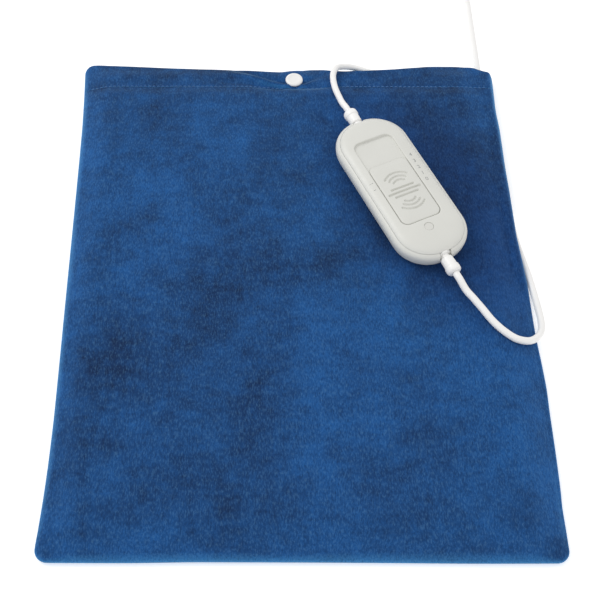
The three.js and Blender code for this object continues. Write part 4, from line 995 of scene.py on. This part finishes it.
def upper_shell():
    """The crowned top: its inner wall, the joint's lip, the crown and the walls of the track."""
    wall = [(7.6, 15.0), (6.2, 14.6), (6.0, 12.6), (5.0, 12.6), (5.0, 14.0), (3.2, 14.0),
            (2.94, 14.04)]
    loops = [track_loop(1.5, 14.2), track_loop(1.5, 15.8)]
    loops += [housing_loop(inset, z) for inset, z in wall]
    insets = [TOP_RIM, 2.91, 3.0, 3.2, 3.5, 3.8, 4.2, 4.7, 5.3, 6.0]
    loops += [housing_loop(inset, crown_height) for inset in insets]
    outer, inner = housing_loop(6.0, 0), track_loop(0.75, crown_height)
    for share in np.linspace(0, 1, 13)[1:]:
        loop = outer * (1 - share) + inner * share
        loop[:, 2] = crown_height(loop[:, 0], loop[:, 1])
        loops.append(loop)
    edge = [(0.45, 0.05), (0.22, 0.2), (0.07, 0.42), (0, 0.7)]
    loops += [track_loop(grow, below_crown(drop)) for grow, drop in edge]
    foot = [(0, 0.4), (-0.07, 0.18), (-0.24, 0.05), (-0.5, 0), (-3.5, 0)]
    loops += [track_loop(grow, TRACK_FLOOR + rise) for grow, rise in foot]
    points, faces = loops_mesh(loops)
    shell = controller_piece("controller_top", points, faces, LOOKS["housing"], "housing_grey")
    slot_length, slot_y = 8 + KNOB_TRAVEL + 0.6, KNOB_Y + KNOB_TRAVEL / 2
    slot = [rounded_loop(5.6, slot_length, 0.8, z, slot_y, 4, 2) for z in (12.0, 16.6)]
    lens_hole = cylinder(3.32, 12, 21, TRACK_X, LENS_Y, segments=64)
    cut(shell, [lens_hole, loops_mesh(slot), gland_cutter(1), gland_cutter(-1)])
    return shell


def laid_along(points, faces, end):
    """Lays a turned shape along the controller's axis, towards its end 1 or -1."""
    laid = np.c_[points[:, 0], end * points[:, 2], GLAND_HEIGHT + end * points[:, 1]]
    return laid, [tuple(reversed(f)) for f in faces]


def gland_cutter(end):
    """The room round a relief where it passes the shells' ends."""
    return laid_along(*cylinder(3.9, HOUSING_LENGTH / 2 - 9, HOUSING_LENGTH / 2 + 3), end)


def lower_shell():
    """The base: its rounded flank up to the joint, its inner wall, and wells for the screws."""
    flank = smooth_line([(7.0, 0.0), (5.2, 0.55), (3.22, 1.6), (1.9, 3.0), (0.91, 4.8), (0.25, 7.4),
                         (0, 9.8), (0.2, 11.3), (0.8, 12.5), (1.65, 13.36), (2.45, 13.9),
                         (2.72, 14.04), (2.78, 13.98)], 3)
    wall = [(2.85, 13.6), (4.7, 13.6), (4.7, 12.0), (2.2, 10.4), (2.6, 6), (4.4, 3), (7.5, 2)]
    loops = [housing_loop(inset, z) for inset, z in [(7.35, 0.0), *flank, *wall]]
    points, faces = loops_mesh(loops)
    shell = controller_piece("controller_base", points, faces, LOOKS["housing"], "housing_grey")
    cutters = []
    for end in (1, -1):
        slot_y = end * (HOUSING_LENGTH / 2 - 1)
        slot = [rounded_loop(9, 12, 0.6, z, slot_y, 4, 2) for z in (GLAND_HEIGHT, 15.0)]
        cutters += [gland_cutter(end), loops_mesh(slot)]
    cutters += [cylinder(3.5, -0.5, 1.75, x, y, 1.8) for x in (13, -13) for y in (46, -46)]
    cut(shell, cutters)
    return shell


KNOB_EDGE = profile([(0, 16.3), (0.06, 16.65), (0.22, 16.95), (0.5, 17.15), (0.9, 17.26),
                     (3.5, 17.55), (8, 17.8)])
BAR_GROOVES = ((-4, 9), (-0.6, 12.5), (2.8, 9))
BOW_RADII = (6, 9.3, 12.6)
BOW_HALF_TURN = math.radians(44)
BOW_SHARE = 0.85


def knob_top(x, y):
    """Height of the knob: a crowned plate that slopes off at its upper end, with three straight
    grooves across its middle and bowed ones above and below them."""
    width, length = TRACK_WIDTH - 2 * KNOB_GAP, KNOB_LENGTH
    crown = KNOB_EDGE(np.clip(inset_of(x, y, width, length, TRACK_CORNER - KNOB_GAP), 0, 8))
    from_top = length / 2 - y
    slope = np.sin(np.clip(from_top / 6.5, 0, 1) * math.pi / 2) ** 0.8
    crown = KNOB_LEAST + (crown - KNOB_LEAST) * slope
    depth = np.zeros_like(x)
    for level, reach in BAR_GROOVES:
        off = np.hypot(np.maximum(np.abs(x) - reach + 0.5, 0), y - level)
        depth = np.maximum(depth, 1 - ease(off, 0.35, 1.0))
    for end in (1, -1):
        along = end * (y + 0.5) - 3.9
        away, angle = np.hypot(x, along), np.arctan2(x, along)
        for radius in BOW_RADII:
            past = np.maximum(np.abs(angle) - BOW_HALF_TURN, 0) * radius
            off = np.hypot(away - radius, past)
            depth = np.maximum(depth, BOW_SHARE * (1 - ease(off, 0.25, 1.0)))
    return np.maximum(crown - GROOVE_DEPTH * depth, KNOB_LEAST)


def knob():
    """The thumb plate: a fine grid under knob_top, a skirt down its rim and a flat underside."""
    width, length, r = TRACK_WIDTH - 2 * KNOB_GAP, KNOB_LENGTH, TRACK_CORNER - KNOB_GAP
    columns = spaced(width, 0.25, 0.3) - width / 2
    rows = spaced(length, 0.25, 0.3) - length / 2
    beyond = np.maximum(np.abs(columns) - (width / 2 - r), 0)
    corner = r - np.sqrt(np.maximum(r * r - beyond**2, 0))
    ys = rows[:, None] * (1 - corner / (length / 2))
    xs = np.broadcast_to(columns, ys.shape).copy()
    index = np.arange(xs.size).reshape(xs.shape)
    faces = [tuple(f) for f in grid_faces(index)]
    rim = [*index[0, :], *index[1:, -1], *index[-1, -2::-1], *index[-2:0:-1, 0]]
    points = np.c_[xs.ravel(), ys.ravel(), knob_top(xs, ys).ravel()]
    skirt = points[rim].copy()
    skirt[:, 2] = KNOB_UNDER
    start, count = len(points), len(rim)
    for k in range(count):
        after = (k + 1) % count
        faces.append((rim[k], start + k, start + after, rim[after]))
    faces.append(tuple(range(start + count - 1, start - 1, -1)))
    points = np.concatenate([points, skirt]) + np.array([TRACK_X, KNOB_Y, 0])
    made = controller_piece("slider_thumb_plate", points, faces, LOOKS["knob"], "housing_grey")
    made.data.set_sharp_from_angle(angle=math.radians(50))
    return made


def relief(name, end):
    """A short barrel-shaped strain relief on the controller's end, with a collar near its tip."""
    outline = [
        (0.01, -4.5), (5.0, -4.5), (5.2, -4.3), (5.2, -2.8), (3.25, -2.7), (3.25, -0.1), (4.1, 0),
        (4.3, 0.2), (4.42, 0.8), (4.55, 3.2), (4.66, 5.8), (4.68, 6.9), (4.8, 7.1), (5.1, 7.35),
        (5.2, 7.8), (5.22, 9.2), (5.18, 10.4), (5.0, 11.2), (4.5, 11.9), (3.9, 12.3), (3.1, 12.45),
        (0.01, 12.45),
    ]
    barrel = loops_mesh(turned_loops([(r, GLAND_ROOT + along) for r, along in outline], 40))
    made = controller_piece(name, *laid_along(*barrel, end), LOOKS["vinyl"], "white_vinyl")
    made.data.set_sharp_from_angle(angle=math.radians(42))
    return made


def lens():
    """The lamp's round lens, with a rolled edge and a low dome."""
    outline = [(0.01, 14.5), (4.1, 14.5), (4.1, 15.1), (3.2, 15.1), (3.2, 17.42), (3.16, 17.56),
               (3.02, 17.64), (2.8, 17.66), (2.6, 17.63), (2.5, 17.58), (2.3, 17.57), (1.2, 17.64),
               (0.01, 17.66)]
    points, faces = loops_mesh(turned_loops(outline, 48))
    points = points + np.array([TRACK_X, LENS_Y, 0])
    return controller_piece("lamp_lens", points, faces, LOOKS["lens"], "lens_grey")


# Print on the housing: numerals as (numeral, Y), ticks as (X, Y, length)

LEVEL_MARKS = (("4", 18.8), ("3", 12.8), ("2", 6.8), ("1", 0.8), ("0", -5.1))
LEVEL_MARK_X = 18.1
LEVEL_MARK_SIZE = 4.3
TICKS = ((-20.0, 7.0, 2.6), (-20.2, 1.2, 1.6))
TICK_HALF = 0.2
INK = 0.12


def marks():
    """Heat levels beside the track as plain numerals, and two index ticks on the other side."""
    parts = []
    for digit, y in LEVEL_MARKS:
        curve = bpy.data.curves.new("digit", "FONT")
        curve.body = digit
        curve.align_x = "CENTER"
        curve.align_y = "CENTER"
        curve.size = LEVEL_MARK_SIZE
        text = bpy.data.objects.new("digit", curve)
        bpy.context.collection.objects.link(text)
        mesh = applied(text)
        flat = np.array([v.co[:2] for v in mesh.vertices]) + np.array([LEVEL_MARK_X, y])
        parts.append((flat, [tuple(p.vertices) for p in mesh.polygons]))
        bpy.data.objects.remove(text)
    for x, y, length in TICKS:
        left, right = x - length / 2, x + length / 2
        low, high = y - TICK_HALF, y + TICK_HALF
        parts.append(([(left, low), (right, low), (right, high), (left, high)], [(0, 1, 2, 3)]))
    flat, faces = merged(parts)
    points = np.c_[flat, crown_height(flat[:, 0], flat[:, 1]) + 0.05]
    made = controller_piece("heat_marks", points, faces, LOOKS["print"], "housing_grey", False)
    thick = made.modifiers.new("ink", "SOLIDIFY")
    thick.thickness = INK * MM
    thick.offset = -1
    made.data = applied(made)
    made.modifiers.clear()
    return made


# Leads

def cord_curve(name, line, diameter):
    """A round lead along a line of points in millimetres."""
    curve = bpy.data.curves.new(name, "CURVE")
    curve.dimensions = "3D"
    spline = curve.splines.new("POLY")
    spline.points.add(len(line) - 1)
    spline.points.foreach_set("co", np.c_[line * MM, np.ones(len(line))].ravel())
    curve.bevel_depth = diameter / 2
    curve.bevel_resolution = 6
    curve.use_fill_caps = True
    curve.materials.append(LOOKS["vinyl"])
    made = bpy.data.objects.new(name, curve)
    bpy.context.collection.objects.link(made)
    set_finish(made, "white_vinyl")
    return made


def mains_line():
    """The mains lead's whole line: under the cover, into the coil, round it and on to the plug."""
    steps = round(COIL_TURNS * COIL_STEPS)
    coil = [coil_point(COIL_TURNS * k / steps) for k in range(steps + 1)]
    (start_x, start_y, start_z), (end_x, end_y, end_z) = coil[0], coil[-1]
    away = [(end_x, end_y - 5.3, end_z), (end_x, end_y - 10.3, end_z), *COIL_TO_PLUG_ROUTE]
    line = np.concatenate([
        smooth_line(MAINS_LEAD_ROUTE, 14)[:-1], np.array([(start_x, start_y - 5, start_z)]),
        np.array(coil), smooth_line(away, 10),
    ])
    apart = np.linalg.norm(np.diff(line, axis=0), axis=1)
    return line[np.r_[True, apart > LEAST_STEP]]


# Settings

class PLUSH_PG_settings(bpy.types.PropertyGroup):
    """Colours and scales of the plush"""
    # The pile runs between the dark and the light colour in random clouds and streaks, and by the
    # painted shading by slope.
    dark: bpy.props.FloatVectorProperty(
        name="Dark pile", description="Colour of the pile where it is brushed towards the eye",
        subtype="COLOR", size=3, min=0, max=1, default=linear(17, 40, 78)[:3])
    light: bpy.props.FloatVectorProperty(
        name="Light pile", description="Colour of the pile where it is brushed away",
        subtype="COLOR", size=3, min=0, max=1, default=linear(31, 87, 151)[:3])
    # Colour of a painted rim light on the pile where the cover rolls over at its edges.
    rim: bpy.props.FloatVectorProperty(
        name="Painted Rim Light", description="Colour of the pile where the cover rolls over at its edges",
        subtype="COLOR", size=3, min=0, max=1, default=linear(62, 134, 190)[:3])
    cloud_size: bpy.props.FloatProperty(
        name="Cloud size", description="Size of the brushed patches",
        subtype="DISTANCE", unit="LENGTH", default=0.042, min=0.005, max=0.3)
    streak_size: bpy.props.FloatProperty(
        name="Streak size", description="Width of the streaks in the nap",
        subtype="DISTANCE", unit="LENGTH", default=0.0036, min=0.0005, max=0.05)
    pile_size: bpy.props.FloatProperty(
        name="Pile size", description="Size of the tufts",
        subtype="DISTANCE", unit="LENGTH", default=0.00105, min=0.0002, max=0.01)
    mesh_step: bpy.props.FloatProperty(
        name="Mesh step", description="Spacing of the cover's mesh lines",
        subtype="DISTANCE", unit="LENGTH", default=0.0022, min=0.001, max=0.01)


class PLASTIC_PG_settings(bpy.types.PropertyGroup):
    """Colours of the plastics and diameters of the leads"""
    housing: bpy.props.FloatVectorProperty(
        name="Housing", description="Colour of the controller's shells",
        subtype="COLOR", size=3, min=0, max=1, default=linear(220, 220, 214)[:3])
    vinyl: bpy.props.FloatVectorProperty(
        name="Vinyl", description="Colour of the leads, reliefs and plug",
        subtype="COLOR", size=3, min=0, max=1, default=linear(249, 248, 246)[:3])
    pad_lead: bpy.props.FloatProperty(
        name="Pad lead", description="Diameter of the lead to the pad",
        subtype="DISTANCE", unit="LENGTH", default=0.0048, min=0.002, max=0.01)
    mains_lead: bpy.props.FloatProperty(
        name="Mains lead", description="Diameter of the mains lead",
        subtype="DISTANCE", unit="LENGTH", default=0.005, min=0.002, max=0.01)


class STUDIO_PG_settings(bpy.types.PropertyGroup):
    """Light of the studio"""
    fill: bpy.props.FloatProperty(
        name="Fill light", description="Strength of the light from all round",
        default=0.78, min=0, max=4)
    key: bpy.props.FloatProperty(
        name="Key light", description="Power of the soft light from the left",
        subtype="POWER", unit="POWER", default=7.0, min=0, max=200)
    glow: bpy.props.FloatProperty(
        name="Floor glow", description="Light that the white floor gives off",
        default=0.34, min=0, max=2)


# Stage, in metres. The camera was solved from the four edges of the cover, with its angles in
# degrees and its focus and centre in pixels of a square frame.

CAMERA_AZIMUTH = -0.28
CAMERA_ELEVATION = 58.27
CAMERA_ROLL = 0.34
CAMERA_TARGET = (-0.03443, -0.01219, 0)
CAMERA_DISTANCE = 0.75775
CAMERA_FOCUS = 1094.99
CAMERA_CENTRE = (244.55, 299.67)
FRAME_SIDE = 600
SENSOR = 36

# Lamps as (name, place, share of the key light's power, size), and the floor

LAMPS = (("Key", (-0.95, 0.55, 1.15), 1.0, 0.7), ("Front", (0.5, -1.3, 0.9), 0.22, 1.2))
FLOOR_REACH = 4.0
FLOOR_LEVEL = -0.0001


def solved_camera():
    """The camera at its distance behind the target, turned about its own axis by the roll."""
    azimuth, elevation, roll = map(math.radians, (CAMERA_AZIMUTH, CAMERA_ELEVATION, CAMERA_ROLL))
    back = Vector((math.sin(azimuth) * math.cos(elevation),
                   -math.cos(azimuth) * math.cos(elevation), math.sin(elevation)))
    right = Vector((0, 0, 1)).cross(back).normalized()
    up = back.cross(right)
    leant_right = right * math.cos(roll) + up * math.sin(roll)
    leant_up = up * math.cos(roll) - right * math.sin(roll)
    data = bpy.data.cameras.new("Camera")
    data.sensor_width = SENSOR
    data.lens = CAMERA_FOCUS / FRAME_SIDE * SENSOR
    data.shift_x = (FRAME_SIDE / 2 - CAMERA_CENTRE[0]) / FRAME_SIDE
    data.shift_y = (CAMERA_CENTRE[1] - FRAME_SIDE / 2) / FRAME_SIDE
    camera = bpy.data.objects.new("Camera", data)
    turn = Matrix((leant_right, leant_up, back)).transposed().to_4x4()
    place = Vector(CAMERA_TARGET) + back * CAMERA_DISTANCE
    camera.matrix_world = Matrix.Translation(place) @ turn
    return camera


def white_floor(glow):
    """The pale studio floor, which gives off a little light."""
    material, tree, shader = look(
        "White floor", roughness=0.9, specular_ior_level=0.1, emission_color=(1, 1, 1, 1),
        emission_strength=glow)
    tone = remap(tree, noise(tree, object_place(tree), 3.0), 0.3, 0.7)
    shade = mix(tree, tone, (0.93, 0.93, 0.93, 1), (0.96, 0.96, 0.96, 1))
    tree.links.new(shade, shader.inputs["Base Color"])
    floor = bpy.data.objects.new("floor", bpy.data.meshes.new("floor"))
    signs = ((-1, -1), (1, -1), (1, 1), (-1, 1))
    corners = [(x * FLOOR_REACH, y * FLOOR_REACH, FLOOR_LEVEL) for x, y in signs]
    floor.data.from_pydata(corners, [], [(0, 1, 2, 3)])
    floor.data.materials.append(material)
    return floor


def soft_lamp(name, place, power, size):
    """A square lamp that shines at the middle of the floor."""
    lamp = bpy.data.lights.new(name, "AREA")
    lamp.energy = power
    lamp.size = size
    light = bpy.data.objects.new(name, lamp)
    light.location = place
    light.rotation_mode = "QUATERNION"
    light.rotation_quaternion = (-Vector(place)).to_track_quat("-Z", "Y")
    return light


# Operators

class STUDIO_OT_stage(bpy.types.Operator):
    """Makes the camera, the white floor, the soft lights and the finishes"""
    bl_idname = "heating_pad.stage"
    bl_label = "Stage"

    def execute(self, context):
        s = context.scene.studio_settings
        camera = solved_camera()
        context.collection.objects.link(camera)
        context.scene.camera = camera

        world = bpy.data.worlds.new("Studio")
        context.scene.world = world
        world.use_nodes = True
        background = world.node_tree.nodes["Background"]
        background.inputs["Color"].default_value = (1, 1, 1, 1)
        background.inputs["Strength"].default_value = s.fill
        context.scene.view_settings.view_transform = "Standard"

        floor = white_floor(s.glow)
        context.collection.objects.link(floor)
        for name, place, share, size in LAMPS:
            context.collection.objects.link(soft_lamp(name, place, s.key * share, size))
        make_looks()
        return {"FINISHED"}


class LEADS_OT_lay(bpy.types.Operator):
    """Lays the pad lead and the mains lead with its coil"""
    bl_idname = "heating_pad.leads"
    bl_label = "Leads"

    def execute(self, context):
        s = context.scene.plastic_settings
        line = smooth_line(PAD_LEAD_ROUTE, 14)
        pad_cord = cord_curve("pad_cord", line, s.pad_lead)
        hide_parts("pad_lead")
        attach(pad_cord, "pad")

        line = mains_line()
        mains_cord = cord_curve("mains_cord", line, s.mains_lead)
        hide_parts("mains_lead", "mains_lead_coil", "plug_lead")
        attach(mains_cord, "pad")
        context.scene["mains_start"] = (line[0] * MM).tolist()
        return {"FINISHED"}


class COVER_OT_sew(bpy.types.Operator):
    """Makes the plush front and back panels, the hems at the mouth and their stitching"""
    bl_idname = "heating_pad.cover"
    bl_label = "Plush cover"

    def execute(self, context):
        step = context.scene.plush_settings.mesh_step / MM
        seam = HEM_START - HEM_LAP
        panel_rows = spaced(seam + COVER_HALF_LENGTH, 1.0, step) - COVER_HALF_LENGTH
        hem_rows = HEM_START + spaced(COVER_HALF_LENGTH - HEM_START, 0.55, step * 0.6)
        front = front_sheet("cover_front", panel_rows, seam, step)
        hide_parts("cover_front_panel")
        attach(front, "pad")

        hem = front_sheet("mouth_hem_front", hem_rows, HEM_START, step * 0.7)
        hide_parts("cover_front_hem")
        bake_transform(hem)
        snap_weights(hem)

        back = back_sheet("cover_back", panel_rows, seam, step * 1.5, False)
        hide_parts("cover_back_panel")
        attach(back, "pad")

        back_hem = back_sheet("mouth_hem_back", hem_rows, HEM_START, step, True)
        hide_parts("cover_back_hem")
        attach(back_hem, "pad")

        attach(stitches(), "pad")
        return {"FINISHED"}


class SNAP_OT_set(bpy.types.Operator):
    """Makes the snap's domed cap"""
    bl_idname = "heating_pad.snap"
    bl_label = "Snap"

    def execute(self, context):
        cap = snap_dome()
        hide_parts("snap_cap")
        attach(cap, "snap_front")
        return {"FINISHED"}


class CONTROLLER_OT_mould(bpy.types.Operator):
    """Makes the controller's shells, thumb plate, reliefs, lamp lens and marks"""
    bl_idname = "heating_pad.controller"
    bl_label = "Controller"

    def execute(self, context):
        made = {
            "controller_upper_shell": upper_shell(),
            "controller_lower_shell": lower_shell(),
            "pad_lead_relief": relief("relief_to_pad", 1),
            "mains_lead_relief": relief("relief_to_mains", -1),
            "indicator_lens": lens(),
        }
        for name, obj in made.items():
            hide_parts(name)
            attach(obj, "pad")
        plate = knob()
        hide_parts("slider_knob")
        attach(plate, "slider")
        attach(marks(), "pad")
        return {"FINISHED"}


class PLUG_OT_fit(bpy.types.Operator):
    bl_idname = "heating_pad.plug"
    bl_label = "Plug and tie"

    def execute(self, context):
        return {"FINISHED"}


# The solids that stay as they are, by finish

FINISHES = {
    "snap": ["snap_socket", "snap_stud", "snap_back_cap"],
    "casing": ["inner_casing_top", "inner_casing_bottom"],
    "wadding": ["wadding_top", "wadding_bottom"],
    "felt": ["heater_carrier"],
    "sleeve": ["heating_wire", "mains_live_wire"],
    "black": ["thermostat_1", "thermostat_2", "slider_carrier", "triac", "coil_tie"],
    "vinyl": ["pad_gland", "pad_wire_1", "pad_wire_2", "mains_neutral_wire", "plug_body",
              "plug_relief"],
    "copper": ["wiper_contact"],
    "board": ["circuit_board"],
    "lens": ["indicator_led"],
    "ceramic": ["fuse", "power_resistor"],
    "film": ["film_capacitor"],
    "nickel": ["housing_screw_1", "housing_screw_2", "housing_screw_3", "housing_screw_4",
               "plug_pin_left", "plug_pin_right"],
}


class FITTINGS_OT_finish(bpy.types.Operator):
    """Gives every carried-over solid its finish"""
    bl_idname = "heating_pad.fittings"
    bl_label = "Inner fittings"

    def execute(self, context):
        for finish, names in FINISHES.items():
            for name in names:
                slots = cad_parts[name].material_slots
                if not slots:
                    raise RuntimeError(f"{name} has no material slot")
                for held in slots:
                    held.material = LOOKS[finish]
        return {"FINISHED"}


class HEATING_PAD_PT_panel(bpy.types.Panel):
    """Steps and settings of the heating pad"""
    bl_idname = "HEATING_PAD_PT_panel"
    bl_label = "Heating Pad"
    bl_space_type = "VIEW_3D"
    bl_region_type = "UI"
    bl_category = "Heating Pad"

    def draw(self, context):
        scene = context.scene
        for step in STEPS:
            self.layout.operator(step)
        for holder in (scene.plush_settings, scene.plastic_settings, scene.studio_settings):
            box = self.layout.box()
            for name in holder.__annotations__:
                box.prop(holder, name)


STEPS = [
    "heating_pad.stage", "heating_pad.leads", "heating_pad.cover", "heating_pad.snap",
    "heating_pad.controller", "heating_pad.plug", "heating_pad.fittings",
]
CLASSES = [
    PLUSH_PG_settings, PLASTIC_PG_settings, STUDIO_PG_settings, STUDIO_OT_stage, LEADS_OT_lay,
    COVER_OT_sew, SNAP_OT_set, CONTROLLER_OT_mould, PLUG_OT_fit, FITTINGS_OT_finish,
    HEATING_PAD_PT_panel,
]


def register():
    for made in CLASSES:
        bpy.utils.register_class(made)
    bpy.types.Scene.plush_settings = bpy.props.PointerProperty(type=PLUSH_PG_settings)
    bpy.types.Scene.plastic_settings = bpy.props.PointerProperty(type=PLASTIC_PG_settings)
    bpy.types.Scene.studio_settings = bpy.props.PointerProperty(type=STUDIO_PG_settings)


def unregister():
    del bpy.types.Scene.studio_settings
    del bpy.types.Scene.plastic_settings
    del bpy.types.Scene.plush_settings
    for made in reversed(CLASSES):
        bpy.utils.unregister_class(made)


def main():
    """Makes the stage and every piece in order."""
    register()
    for step in STEPS:
        area, name = step.split(".")
        getattr(getattr(bpy.ops, area), name)()


if __name__ == "__main__":
    main()
